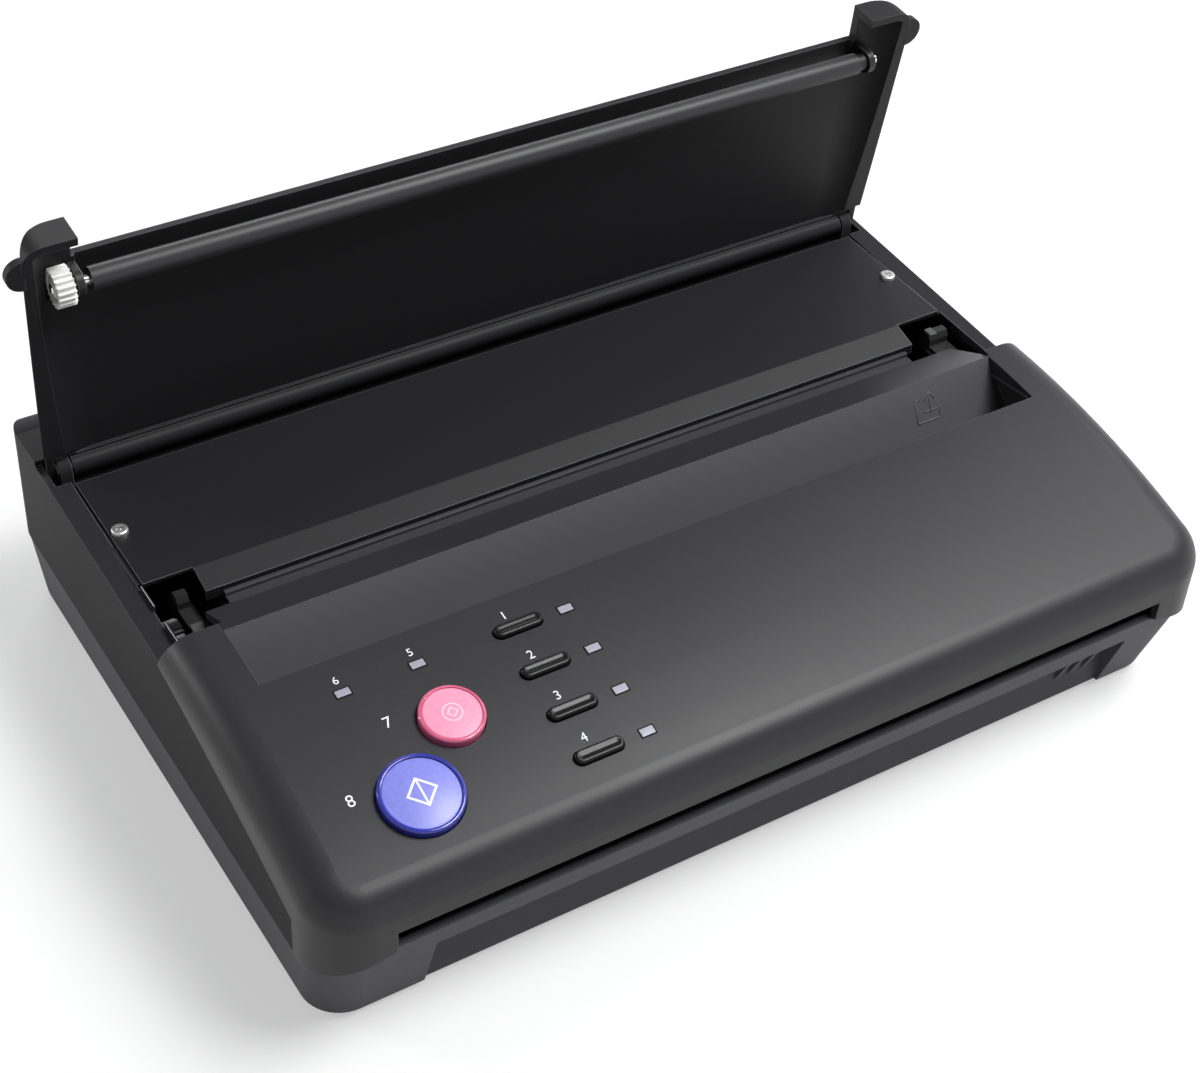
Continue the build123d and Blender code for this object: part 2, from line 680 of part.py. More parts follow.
def make_head_strip():
    """Ceramic print head strip glued on the heat sink, with the raised cover of its driver chips."""
    low = head_top_z - head_strip_thickness
    strip = block(-head_half, head_half, head_front_y - 1.4, head_rear_y, low, head_top_z)
    edge = head_rear_y + 0.8
    cover = prism_x([(edge - driver_cover_width, low), (edge, low), (edge, head_top_z + driver_cover_height),
                     (edge - driver_cover_width + 0.3, head_top_z + driver_cover_height),
                     (edge - driver_cover_width, head_top_z + driver_cover_height - 0.3)], -head_half, head_half)
    return strip + cover


spring_xs = [-70.0, 0.0, 70.0]
spring_span = 34.0
spring_width = 8.0


def make_leaf_springs():
    """Arched leaf springs that push the head up against the platen."""
    springs = []
    rise = spring_rise - spring_sheet
    radius = (spring_span ** 2 / 4 + rise ** 2) / (2 * rise)
    middle_y = (sink_front_y + sink_rear_y) / 2
    for x in spring_xs:
        top = (x, middle_y, channel_top_z + rise)
        lower = ThreePointArc((x - spring_span / 2, middle_y, channel_top_z), top,
                              (x + spring_span / 2, middle_y, channel_top_z))
        upper = ThreePointArc((x + spring_span / 2, middle_y, channel_top_z + spring_sheet),
                              (x, middle_y, channel_top_z + spring_rise),
                              (x - spring_span / 2, middle_y, channel_top_z + spring_sheet))
        ends = [Line(lower @ 1, upper @ 0), Line(upper @ 1, lower @ 0)]
        face = make_face([lower, ends[0], upper, ends[1]])
        springs.append(extrude(face, amount=spring_width / 2, both=True))
    return springs


def make_cross_channel():
    """Folded channel between the side plates that the head's springs rest on."""
    front, rear = sink_front_y - 1.6, sink_rear_y + 1.6
    inner_x = side_plate_x - side_plate_sheet
    top = block(-inner_x, inner_x, front, rear, channel_top_z - channel_sheet, channel_top_z)
    for y in (front, rear - channel_sheet):
        top = top + block(-inner_x, inner_x, y, y + channel_sheet, channel_top_z - channel_depth, channel_top_z)
    return top


# ---- lid --------------------------------------------------------------------------------
def gear_pocket():
    """Room for the platen's gear inside the left cheek; drawn closed."""
    radius = gear_module * (platen_teeth / 2 + 1) + gear_relief
    return disc_x(platen_y, platen_z, radius, gear_x0 - 1.0, gear_x0 + gear_width + 1.0)


def lid_section(half_width, panel_half, top_z, low_z):
    """Lid's cross section: flat panel, cheeks rounded down to the rim."""
    fall = top_z - low_z - 1.0
    centre_z = top_z - fall
    reach = half_width - panel_half
    left = EllipticalCenterArc((-panel_half, centre_z), reach, fall, 90, arc_size=90)
    right = EllipticalCenterArc((panel_half, centre_z), reach, fall, 0, arc_size=90)
    edges = [left, Line((-half_width, centre_z), (-half_width, low_z)),
             Line((-half_width, low_z), (half_width, low_z)), Line((half_width, low_z), (half_width, centre_z)),
             right, Line((panel_half, top_z), (-panel_half, top_z))]
    plane = Plane(origin=(0, 0, 0), x_dir=(1, 0, 0), z_dir=(0, -1, 0))
    return plane * make_face(edges)


def lid_form(half_width, panel_half, top_z, rise, low_z, y_rear, y_front):
    """Section drawn along Y and tilted so that it rises towards the free edge."""
    section = lid_section(half_width, panel_half, top_z, low_z)
    body = Pos(0, y_rear, 0) * extrude(section, amount=y_rear - y_front + 2, dir=(0, -1, 0))
    tilt = math.degrees(math.atan(rise / (hinge_y - lid_edge_y)))
    return body.rotate(Axis((0, hinge_y, top_z), (1, 0, 0)), -tilt)


def lid_plan(inset):
    """Lid seen from above: rounded rear corners, rounded ear corners."""
    return extrude(plan_face(lid_half_width - inset, lid_ear_y + inset, hinge_y + lid_back_radius + 0.4 - inset,
                             6.0 - inset, lid_corner_radius - inset, 40), amount=40, dir=(0, 0, 1))


def make_lid_shell():
    """Shallow tray-shaped cover with a hinge barrel, cheeks, ears and thumb tabs; drawn closed."""
    outer = lid_form(lid_half_width, lid_outer_flat, lid_outer_z, lid_outer_rise, 52, 90, -20) & lid_plan(0)
    inner = lid_form(lid_half_width - rim_wall, lid_panel_half - 1.6, lid_inner_z, lid_inner_rise, 50, 90, -20)
    inner = inner & lid_plan(rim_wall) & block(-160, 160, -30, trough_front_y + 1.2, 40, 80)
    lid = outer - inner - gear_pocket()
    edge_low_z = lid_outer_z + lid_outer_rise - lid_edge_sheet
    lid = lid - block(-lid_panel_half + 1, lid_panel_half - 1, -30, platen_y + platen_radius + 1.2, 40, edge_low_z)
    lid = lid - block(-lid_panel_half, lid_panel_half, -30, lid_edge_y, 40, 80)
    below_rim = prism_x([(90, rail_z(90) + rim_gap), (-30, rail_z(-30) + rim_gap), (-30, 30), (90, 30)], -160, 160)
    lid = lid - below_rim
    back_form = disc_x(hinge_y, hinge_z, lid_back_radius, -160, 160)
    lid = lid - (block(-160, 160, hinge_y, 90, 30, 90) - back_form)
    lid = lid - block(-160, 160, hinge_y - 6, 90, 30, hinge_z - 0.2)
    lid = lid + disc_x(hinge_y, hinge_z, barrel_radius, -barrel_half, barrel_half)
    for notch in both_sides(block(barrel_half, barrel_half + 2 * ear_plate_half + 1.4, hinge_y - 4.2, 90, 30, 90)):
        lid = lid - notch
    for side in (-1, 1):
        tab_z = rail_z(tab_y) + rim_gap
        tab = Pos(side * (lid_half_width - 0.6), tab_y, tab_z + tab_thickness / 2) * Cylinder(tab_radius, tab_thickness)
        side_band = block(lid_half_width - 1, 160, -30, 30, 0, 90)
        lid = lid + (tab & (side_band if side > 0 else mirror(side_band, about=Plane.YZ)))
        bore = disc_x(hinge_y, hinge_z, pin_radius, side * (barrel_half - 5.5) - 2.6, side * (barrel_half - 5.5) + 2.6)
        mouth = disc_x(hinge_y, hinge_z, pin_radius, *sorted((side * (barrel_half - 4), side * (barrel_half + 1))))
        lid = lid - bore - mouth
    return open_lid(lid)


def make_hinge_pins():
    """Short pins pressed into the barrel that turn in the housing's ears."""
    inner_end = barrel_half - pin_length + 0.2
    outer_end = barrel_half + 0.6 + 2 * ear_plate_half
    return both_sides(disc_x(hinge_y, hinge_z, pin_radius, inner_end, outer_end))


def make_platen_brackets():
    """Two plates under the lid that carry the platen's shaft; drawn closed."""
    plates = []
    for x in (bracket_left_x, bracket_right_x):
        top = lid_inner_z + lid_inner_rise * (hinge_y - platen_y) / (hinge_y - lid_edge_y)
        top = top - bracket_seat
        plate = block(x, x + bracket_sheet, platen_y - bracket_radius, platen_y + bracket_radius, platen_z, top)
        plate = plate + disc_x(platen_y, platen_z, bracket_radius, x, x + bracket_sheet)
        plate = plate + block(x, x + bracket_sheet, platen_y, platen_y + 6, top - 1.8, top)
        plate = plate - disc_x(platen_y, platen_z, shaft_radius + running_clearance, x - 1, x + bracket_sheet + 1)
        plates.append(open_lid(plate))
    return plates


def make_platen_shaft():
    """Steel shaft through sleeve, brackets and gear; drawn closed."""
    shaft = disc_x(platen_y, platen_z, shaft_radius, gear_x0 - 0.4, bracket_right_x + bracket_sheet + 2.4)
    shaft = chamfer(shaft.edges().group_by(Axis.X)[0] + shaft.edges().group_by(Axis.X)[-1], 0.3)
    return open_lid(shaft)


def make_platen_rubber():
    """Rubber sleeve on the platen's shaft; drawn closed."""
    sleeve = disc_x(platen_y, platen_z, platen_radius, -platen_half, platen_half)
    return open_lid(sleeve - disc_x(platen_y, platen_z, shaft_radius, -150, 150))


def make_platen_bush():
    """White end bush on the shaft, between the sleeve and the right bracket; drawn closed."""
    x0, x1 = platen_half + 0.3, bracket_right_x - 0.3
    bush = disc_x(platen_y, platen_z, 2.5, x0, x1) - disc_x(platen_y, platen_z, shaft_radius, 100, 150)
    return open_lid(bush)


# ---- gears ------------------------------------------------------------------------------
def pitch_radius(teeth):
    """Radius of a gear's pitch circle."""
    return gear_module * teeth / 2


def pair_distance(first, second):
    """Centre distance of two meshed gears."""
    return pitch_radius(first) + pitch_radius(second) + centre_spread


def third_corner(first, second, from_first, from_second):
    """Point at given distances from two points, on the front and lower side of their line."""
    along_y, along_z = second[0] - first[0], second[1] - first[1]
    span = math.hypot(along_y, along_z)
    unit = (along_y / span, along_z / span)
    run = (from_first ** 2 - from_second ** 2 + span ** 2) / (2 * span)
    off = math.sqrt(from_first ** 2 - run ** 2)
    return (first[0] + run * unit[0] + off * unit[1], first[1] + run * unit[1] - off * unit[0])


platen_place = (platen_y, platen_z)
drive_place = (platen_y, platen_z - pair_distance(platen_teeth, drive_teeth) - 0.1)
pinion_place = (motor_axis_y, motor_axis_z)
idler_place = third_corner(drive_place, pinion_place, pair_distance(drive_teeth, idler_teeth),
                           pair_distance(pinion_teeth, idler_teeth))
feed_place = (feed_axis_y, feed_axis_z)
transfer_place = third_corner(feed_place, idler_place, pair_distance(feed_teeth, transfer_teeth),
                              pair_distance(transfer_teeth, idler_teeth))


def meshed_phase(first, first_teeth, first_phase, second, second_teeth):
    """Angle of a tooth of the second gear that lets it mesh with the first, in degrees."""
    line = math.degrees(math.atan2(second[1] - first[1], second[0] - first[0]))
    return line + 180 - first_teeth / second_teeth * (first_phase - line) + 180 / second_teeth


feed_phase = 0.0
transfer_phase = meshed_phase(feed_place, feed_teeth, feed_phase, transfer_place, transfer_teeth)
idler_phase = meshed_phase(transfer_place, transfer_teeth, transfer_phase, idler_place, idler_teeth)
pinion_phase = meshed_phase(idler_place, idler_teeth, idler_phase, pinion_place, pinion_teeth)
drive_phase = meshed_phase(idler_place, idler_teeth, idler_phase, drive_place, drive_teeth)
platen_phase = meshed_phase(drive_place, drive_teeth, drive_phase, platen_place, platen_teeth)


def make_gear(place, teeth, phase, bore, web_radius=0.0, hub_radius=0.0):
    """Spur gear with straight-flanked teeth, an optional thin web and a hub."""
    pitch = pitch_radius(teeth)
    tip, root = pitch + gear_addendum * gear_module, pitch - 1.2 * gear_module
    half_pitch = (math.pi * gear_module / 2 - gear_backlash) / 2
    lean = math.tan(math.radians(20))
    half_tip = math.atan((half_pitch - lean * (tip - pitch)) / tip)
    half_root = math.atan((half_pitch + lean * (pitch - root)) / root)
    points = []
    for index in range(teeth):
        middle = math.radians(phase) + 2 * math.pi * index / teeth
        for radius, angle in ((root, -half_root), (tip, -half_tip), (tip, half_tip), (root, half_root)):
            points.append((place[0] + radius * math.cos(middle + angle),
                           place[1] + radius * math.sin(middle + angle)))
    gear = prism_x(points, gear_x0, gear_x0 + gear_width)
    if web_radius:
        ring = disc_x(*place, web_radius, gear_x0 - 1, gear_x0 + gear_width + 1)
        hub = disc_x(*place, hub_radius, gear_x0 - 1, gear_x0 + gear_width + 1)
        web = disc_x(*place, web_radius, gear_x0 + 1.7, gear_x0 + gear_width - 1.7)
        gear = gear - (ring - hub - web)
    return gear - disc_x(*place, bore, gear_x0 - 2, gear_x0 + gear_width + 2)


def make_axle(place):
    """Pin between the gear plate and the side plate."""
    return disc_x(*place, axle_radius, -gear_plate_x, -side_plate_x + side_plate_sheet)


# ---- chassis ----------------------------------------------------------------------------
def side_plate_outline():
    """Side view of a chassis plate: over the head, the rollers and the motor."""
    return [(-64, tray_floor_z), (44, tray_floor_z), (44, 47), (18, 47), (14, 52.6), (-3.5, 52.6),
            (-8, 47), (-16, 38.5), (-34, 36.2), (-41, 36.2), (-41, 47), (-60, 47), (-64, 43)]


def make_side_plate(side):
    """Steel plate that stands on the tray and carries the feed roller and the head's channel."""
    outer, inner = side_plate_x, side_plate_x - side_plate_sheet
    x0, x1 = (inner, outer) if side > 0 else (-outer, -inner)
    plate = prism_x(side_plate_outline(), x0, x1)
    foot_x0, foot_x1 = (inner - 8, inner) if side > 0 else (-inner, -inner + 8)
    for y in (-58, 30):
        plate = plate + block(foot_x0, foot_x1, y, y + 12, tray_floor_z, tray_floor_z + side_plate_sheet)
        plate = plate - Pos((foot_x0 + foot_x1) / 2, y + 6, 5) * Cylinder(1.6, 6)
    plate = plate - disc_x(feed_axis_y, feed_axis_z, feed_shaft_radius + 1.5, x0 - 1, x1 + 1)
    if side < 0:
        for place in (drive_place, idler_place, transfer_place):
            plate = plate - disc_x(*place, axle_radius, x0 - 1, x1 + 1)
        plate = plate - disc_x(*pinion_place, pitch_radius(pinion_teeth) + 1.2, x0 - 1, x1 + 1)
    return plate


def make_gear_plate():
    """Outer plate of the gear train, its upper edge seen in the left pocket."""
    outline = [(-58, tray_floor_z), (32, tray_floor_z), (32, 40), (17, 44), (17, 52.8), (-6, 52.8),
               (-10, 46), (-30, 46), (-58, 36)]
    x0, x1 = -gear_plate_x, -gear_plate_x + gear_plate_sheet
    plate = prism_x(outline, x0, x1)
    for place in (drive_place, idler_place, transfer_place):
        plate = plate - disc_x(*place, axle_radius, x0 - 1, x1 + 1)
    return plate


def make_feed_shaft():
    """Steel shaft of the feed roller, out to its gear."""
    return disc_x(*feed_place, feed_shaft_radius, gear_x0 - 0.3, side_plate_x + 1.5)


def make_feed_rubber():
    """Rubber sleeve of the feed roller."""
    sleeve = disc_x(*feed_place, feed_rubber_radius, -feed_rubber_half, feed_rubber_half)
    return sleeve - disc_x(*feed_place, feed_shaft_radius, -150, 150)


def make_feed_bushes():
    """Flanged bushes of the feed roller in the side plates."""
    inner = side_plate_x - side_plate_sheet
    bush = disc_x(*feed_place, feed_shaft_radius + 1.5, inner - 2, side_plate_x)
    bush = bush + disc_x(*feed_place, feed_shaft_radius + 3.2, inner - 2, inner)
    bush = bush - disc_x(*feed_place, feed_shaft_radius + running_clearance, 100, 150)
    return both_sides(bush)


sensor_low_z = feed_axis_z + feed_rubber_radius + sensor_gap + glass_thickness


def make_sensor_bar():
    """Image sensor's housing above the feed roller, with end tabs to the side plates."""
    y0, y1 = feed_axis_y - sensor_depth / 2, feed_axis_y + sensor_depth / 2
    bar = block(-114, 114, y0, y1, sensor_low_z, sensor_low_z + sensor_height)
    bar = bar - block(-110, 110, feed_axis_y - 5, feed_axis_y + 5, sensor_low_z - 1, sensor_low_z + 0.5)
    inner = side_plate_x - side_plate_sheet
    for tab in both_sides(block(113, inner, y0 + 3, y1 - 3, sensor_low_z + 3, sensor_low_z + 6)):
        bar = bar + tab
    return bar


def make_sensor_glass():
    """Glass strip that the original slides under."""
    return block(-109.9, 109.9, feed_axis_y - 4.9, feed_axis_y + 4.9, sensor_low_z - 0.3, sensor_low_z + 0.5)


def make_paper_guide():
    """Lower guide from the chute's floor to the exit slot, slotted for the feed roller."""
    inner = side_plate_x - side_plate_sheet - 0.2
    low = guide_z - guide_sheet
    outline = [(-98.6, low), (-98.6, guide_z), (-41, guide_z), (-33.2, guide_z + 4.6), (-33.2, guide_z + 3.0),
               (-40.6, low)]
    guide = prism_x(outline, -inner, inner)
    slot = feed_rubber_radius + 1.0
    guide = guide - block(-feed_rubber_half - 2, feed_rubber_half + 2, feed_axis_y - slot, feed_axis_y + slot, 20, 40)
    for notch in both_sides(block(inner - 2.6, 130, feed_axis_y - slot, feed_axis_y + slot, 20, 40)):
        guide = guide - notch
    for rib_x in (-80, 0, 80):
        guide = guide + block(rib_x - 1, rib_x + 1, -88, -60, low - 6, low)
    return guide


def make_bearing_block(x0, x1):
    """Notched block on the chassis that centres the platen over the head when the lid is shut."""
    base_z, foot_z = 48.6, platen_z - bracket_radius - 0.4
    half = bracket_radius + 0.35
    front, rear = platen_y - half, platen_y + half
    return prism_x([(-2.5, base_z), (16, base_z), (16, 52.5), (12.6, 57.4), (rear + 1.0, 57.4), (rear, 55.6),
                    (rear, foot_z), (front, foot_z), (front, 55.0), (-2.5, 53.6)], x0, x1)


# ---- motor, boards and connectors -------------------------------------------------------
def make_motor():
    """Stepper motor screwed to the left side plate."""
    x0 = -side_plate_x + side_plate_sheet
    half = motor_side / 2
    body = block(x0, x0 + motor_length, motor_axis_y - half, motor_axis_y + half,
                 motor_axis_z - half, motor_axis_z + half)
    body = chamfer(body.edges().filter_by(Axis.X), 4.0)
    for y, z in ((-1, -1), (-1, 1), (1, -1), (1, 1)):
        hole = disc_x(motor_axis_y + y * 13, motor_axis_z + z * 13, 1.2, x0 - 1, x0 + 5)
        body = body - hole
    bore = disc_x(*pinion_place, 2.4, x0 - 1, x0 + 4)
    cap = disc_x(*pinion_place, 4.5, x0 + motor_length, x0 + motor_length + 1.5)
    return body - bore + cap


def make_motor_shaft():
    """Motor's shaft, out to its pinion."""
    x0 = -side_plate_x + side_plate_sheet
    return disc_x(*pinion_place, 1.0, gear_x0 - 0.3, x0 + 3.9)


def make_board(x0, x1, y0, y1, bosses):
    """Circuit board drilled over its standoffs."""
    z0 = tray_floor_z + standoff_height
    board = block(x0, x1, y0, y1, z0, z0 + board_sheet)
    for x, y in bosses:
        board = board - Pos(x, y, z0) * Cylinder(1.6, 10)
    return board


def board_corners(x0, x1, y0, y1):
    """Standoff places at a board's corners."""
    inset = 4.0
    return [(x, y) for x in (x0 + inset, x1 - inset) for y in (y0 + inset, y1 - inset)]


main_board_box = (-88.0, 34.0, 24.0, 86.0)
power_board_box = (44.0, 112.0, 16.0, 84.0)


def make_standoffs():
    """Hex standoffs between the tray and the two boards."""
    posts = []
    for x, y in board_corners(*main_board_box) + board_corners(*power_board_box):
        post = extrude(RegularPolygon(2.6, 6), amount=standoff_height)
        posts.append(Pos(x, y, tray_floor_z) * (post - Cylinder(1.2, 30)))
    return posts


def make_main_parts():
    """Tall parts of the main board: processor, connectors and capacitors."""
    z0 = tray_floor_z + standoff_height + board_sheet
    parts = [block(-40, -20, 50, 70, z0, z0 + 2.0), block(4, 26, 30, 38, z0, z0 + 8),
             block(-76, -56, 28, 36, z0, z0 + 8), block(-76, -50, 74, 81, z0, z0 + 8)]
    for x in (0, 12, 24):
        parts.append(Pos(x, 74, z0 + 6) * Cylinder(4, 12))
    return parts


def make_power_parts():
    """Tall parts of the power board: transformer, big capacitor and heat sink."""
    z0 = tray_floor_z + standoff_height + board_sheet
    core = block(60, 86, 34, 60, z0, z0 + 22)
    core = chamfer(core.edges().filter_by(Axis.Z), 2.0)
    capacitor = Pos(99, 44, z0 + 13) * Cylinder(9, 26)
    fins = block(50, 56, 28, 68, z0, z0 + 20)
    for y in range(31, 66, 5):
        fins = fins - block(52, 57, y, y + 2.5, z0 + 1, z0 + 21)
    return [core, capacitor, fins]


def rear_wall_y(z):
    """Depth of the housing's rear wall at a height."""
    share = (z - seam_z) / (housing_top_z - seam_z)
    return rear_y_seam + (rear_y_top - rear_y_seam) * share


def make_power_inlet():
    """Appliance inlet: flange outside, shroud and three blades inside its mouth."""
    y = rear_wall_y(inlet_z - inlet_height / 2 - 2) + 0.1
    width, height = inlet_width - 0.4, inlet_height - 0.4
    body = block(inlet_x - width / 2, inlet_x + width / 2, y - 24, y, inlet_z - height / 2, inlet_z + height / 2)
    body = chamfer(body.edges().filter_by(Axis.Y).group_by(Axis.Z)[-1], 4.5)
    rim = block(inlet_x - width / 2 - 2.2, inlet_x + width / 2 + 2.2, y, y + flange_sheet,
                inlet_z - height / 2 - 1.8, inlet_z + height / 2 + 1.8)
    rim = fillet(rim.edges().filter_by(Axis.Y), 1.5)
    mouth = block(inlet_x - width / 2 + 1.6, inlet_x + width / 2 - 1.6, y - 17, y + 5,
                  inlet_z - height / 2 + 1.6, inlet_z + height / 2 - 1.6)
    mouth = chamfer(mouth.edges().filter_by(Axis.Y).group_by(Axis.Z)[-1], 4.0)
    inlet = body + rim - mouth
    for x, z in ((-6.5, -1.5), (6.5, -1.5), (0, 3.0)):
        inlet = inlet + block(inlet_x + x - 1.9, inlet_x + x + 1.9, y - 18, y - 7, inlet_z + z - 1, inlet_z + z + 1)
    return inlet


def make_switch_frame():
    """Frame of the rocker switch, snapped into the rear wall."""
    y = rear_wall_y(inlet_z - bezel_height / 2) + 0.1
    frame = block(switch_x - rocker_width / 2 - 1.2, switch_x + rocker_width / 2 + 1.2, y - 15, y,
                  inlet_z - rocker_height / 2 - 0.7, inlet_z + rocker_height / 2 + 0.7)
    rim = block(switch_x - bezel_width / 2, switch_x + bezel_width / 2, y, y + flange_sheet,
                inlet_z - bezel_height / 2, inlet_z + bezel_height / 2)
    rim = fillet(rim.edges().filter_by(Axis.Y), 1.2)
    well = block(switch_x - rocker_width / 2, switch_x + rocker_width / 2, y - 9, y + 5,
                 inlet_z - rocker_height / 2, inlet_z + rocker_height / 2)
    frame = frame + rim - well
    pin = disc_x(y - 2.5, inlet_z, 1.0, switch_x - bezel_width / 2 + 0.8, switch_x + bezel_width / 2 - 0.8)
    return frame + (pin & block(switch_x - 6.4, switch_x + 6.4, y - 6, y, 0, 90))


def make_rocker():
    """Rocker that tips about the frame's pin; drawn level, set to its off side at rest."""
    y = rear_wall_y(inlet_z - bezel_height / 2) + 0.1
    half, width = rocker_height / 2 - 0.6, rocker_width / 2 - 0.3
    outline = [(y - 6.0, inlet_z - 4), (y - 1.6, inlet_z - half), (y - 0.2, inlet_z - half + 0.4), (y - 0.8, inlet_z),
               (y - 0.2, inlet_z + half - 0.4), (y - 1.6, inlet_z + half), (y - 6.0, inlet_z + 4)]
    rocker = prism_x(outline, switch_x - width, switch_x + width)
    rocker = rocker - disc_x(y - 2.5, inlet_z, 1.0 + running_clearance, switch_x - 9, switch_x + 9)
    return rocker.rotate(Axis((0, y - 2.5, inlet_z), (1, 0, 0)), rocker_tilt / 2)


rocker_tilt = 16.0


def make_tray_screws():
    """Screws that hold the tray and the upper housing together, from below."""
    screws = []
    for x, y in tray_screws:
        head = Pos(x, y, foot_height + 1.2) * Cylinder(boss_radius - 1.2, 1.6)
        shank = Pos(x, y, foot_height + 2 + 9) * Cylinder(pilot_radius - 0.02, 18)
        screws.append(head + shank)
    return screws


def main():
    """Build and write every node."""
    os.makedirs("parts", exist_ok=True)
    save("base_tray", make_base_tray())
    save("rubber_feet", *make_feet())
    save("tray_screws", *make_tray_screws())
    save("upper_housing", make_upper_housing())
    save("front_cover", make_front_cover())
    save("inner_plate", make_inner_plate())
    save("deck_screws", *make_deck_screws())
    save("head_strip", make_head_strip())
    save("head_heat_sink", make_head_sink())
    save("head_springs", *make_leaf_springs())
    save("cross_channel", make_cross_channel())
    save("side_plate_left", make_side_plate(-1))
    save("side_plate_right", make_side_plate(1))
    save("gear_plate", make_gear_plate())
    save("bearing_block_left", make_bearing_block(bracket_left_x, -side_plate_x))
    save("bearing_block_right", make_bearing_block(side_plate_x, bracket_right_x + bracket_sheet + 2.4))
    save("lid_shell", make_lid_shell())
    save("hinge_pins", *make_hinge_pins())
    save("platen_brackets", *make_platen_brackets())
    save("platen_shaft", make_platen_shaft())
    save("platen_rubber", make_platen_rubber())
    save("platen_bush", make_platen_bush())
    save("platen_gear", open_lid(make_gear(platen_place, platen_teeth, platen_phase, shaft_radius)))
    save("drive_gear", make_gear(drive_place, drive_teeth, drive_phase, axle_radius + running_clearance))
    save("idler_gear", make_gear(idler_place, idler_teeth, idler_phase, axle_radius + running_clearance, 9.0, 3.5))
    save("transfer_gear", make_gear(transfer_place, transfer_teeth, transfer_phase,
                                    axle_radius + running_clearance, 14.0, 4.0))
    save("feed_gear", make_gear(feed_place, feed_teeth, feed_phase, feed_shaft_radius, 10.0, 5.0))
    save("motor_pinion", make_gear(pinion_place, pinion_teeth, pinion_phase, 1.0))
    save("motor_shaft", make_motor_shaft())
    save("gear_axles", *[make_axle(place) for place in (drive_place, idler_place, transfer_place)])
    save("motor", make_motor())
    save("feed_shaft", make_feed_shaft())
    save("feed_rubber", make_feed_rubber())
    save("feed_bushes", *make_feed_bushes())
    save("sensor_bar", make_sensor_bar())
    save("sensor_glass", make_sensor_glass())
    save("paper_guide", make_paper_guide())
    save("copy_button", make_round_button(copy_place, copy_radius, copy_face_radius))
    save("copy_button_face", make_button_face(copy_place, copy_face_radius))
    save("stop_button", make_round_button(stop_place, stop_radius, stop_face_radius))
    save("stop_button_face", make_button_face(stop_place, stop_face_radius))
    for number, y in enumerate(pill_ys, start=1):
        save("mode_button_%d" % number, make_mode_button(y))
    windows = [make_window(window_x, y) for y in pill_ys] + [make_window(x, y) for x, y in lamp_places]
    save("light_windows", *windows)
    save("key_board", make_key_board())
    save("key_switches", *make_key_switches())
    save("main_board", make_board(*main_board_box, board_corners(*main_board_box)))
    save("main_board_parts", *make_main_parts())
    save("power_board", make_board(*power_board_box, board_corners(*power_board_box)))
    save("power_board_parts", *make_power_parts())
    save("board_standoffs", *make_standoffs())
    save("power_inlet", make_power_inlet())
    save("switch_frame", make_switch_frame())
    save("switch_rocker", make_rocker())


if __name__ == "__main__":
    main()
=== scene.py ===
# %% [markdown]
# # A stencil copier, dressed piece by piece
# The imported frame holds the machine's measured solids. This lesson keeps them where their shape is
# right, puts finer surfaces over the ones that the eye rests on, and gives every surface the finish
# of the stuff it is made of: spark-eroded ABS, painted sheet steel, ground rubber, acetal, glass.

# %% Load the fixed frame
import bmesh
import bpy
import json
import math
import numpy as np
from mathutils import Matrix, Vector


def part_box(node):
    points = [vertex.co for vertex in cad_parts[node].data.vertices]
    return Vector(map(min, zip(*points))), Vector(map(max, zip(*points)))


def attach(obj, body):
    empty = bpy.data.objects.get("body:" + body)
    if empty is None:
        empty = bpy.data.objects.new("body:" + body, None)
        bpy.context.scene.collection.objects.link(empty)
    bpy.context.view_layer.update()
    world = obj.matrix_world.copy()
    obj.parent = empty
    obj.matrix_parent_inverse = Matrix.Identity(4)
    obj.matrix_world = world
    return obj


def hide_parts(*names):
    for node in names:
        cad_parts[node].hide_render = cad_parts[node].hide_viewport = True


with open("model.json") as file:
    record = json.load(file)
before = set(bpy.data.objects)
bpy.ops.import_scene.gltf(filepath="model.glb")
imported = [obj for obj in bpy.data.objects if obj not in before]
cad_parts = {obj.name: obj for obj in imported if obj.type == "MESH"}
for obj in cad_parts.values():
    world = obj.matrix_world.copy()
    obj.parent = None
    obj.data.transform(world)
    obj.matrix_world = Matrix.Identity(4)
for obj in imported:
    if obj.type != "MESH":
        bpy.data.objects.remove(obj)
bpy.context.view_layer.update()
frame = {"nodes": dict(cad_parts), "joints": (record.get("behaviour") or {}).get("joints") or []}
nodes = frame["nodes"]
MM = 0.001
print("nodes:", len(nodes))

# %% [markdown]
# ## The camera
# A desk machine shows most from well above and from one side, through a long lens, so that its far
# edge is only a little smaller than the near one. The camera could be aimed with a Track To
# constraint; here its three axes are worked out from yaw, pitch and roll, because a slight roll is
# part of the view.

# %% Camera from yaw, pitch and roll
IMAGE_WIDTH, FOCAL_PIXELS = 1200, 2284.1
SENSOR_WIDTH = 36.0
camera_place = np.array([-277.4, -413.0, 465.0]) * MM
yaw, pitch, roll = np.radians([33.81, 40.90, 3.50])

ahead = np.array([np.sin(yaw) * np.cos(pitch), np.cos(yaw) * np.cos(pitch), -np.sin(pitch)])
level = np.array([np.cos(yaw), -np.sin(yaw), 0.0])
upward = np.cross(level, ahead)
right_axis = np.cos(roll) * level + np.sin(roll) * upward
up_axis = -np.sin(roll) * level + np.cos(roll) * upward

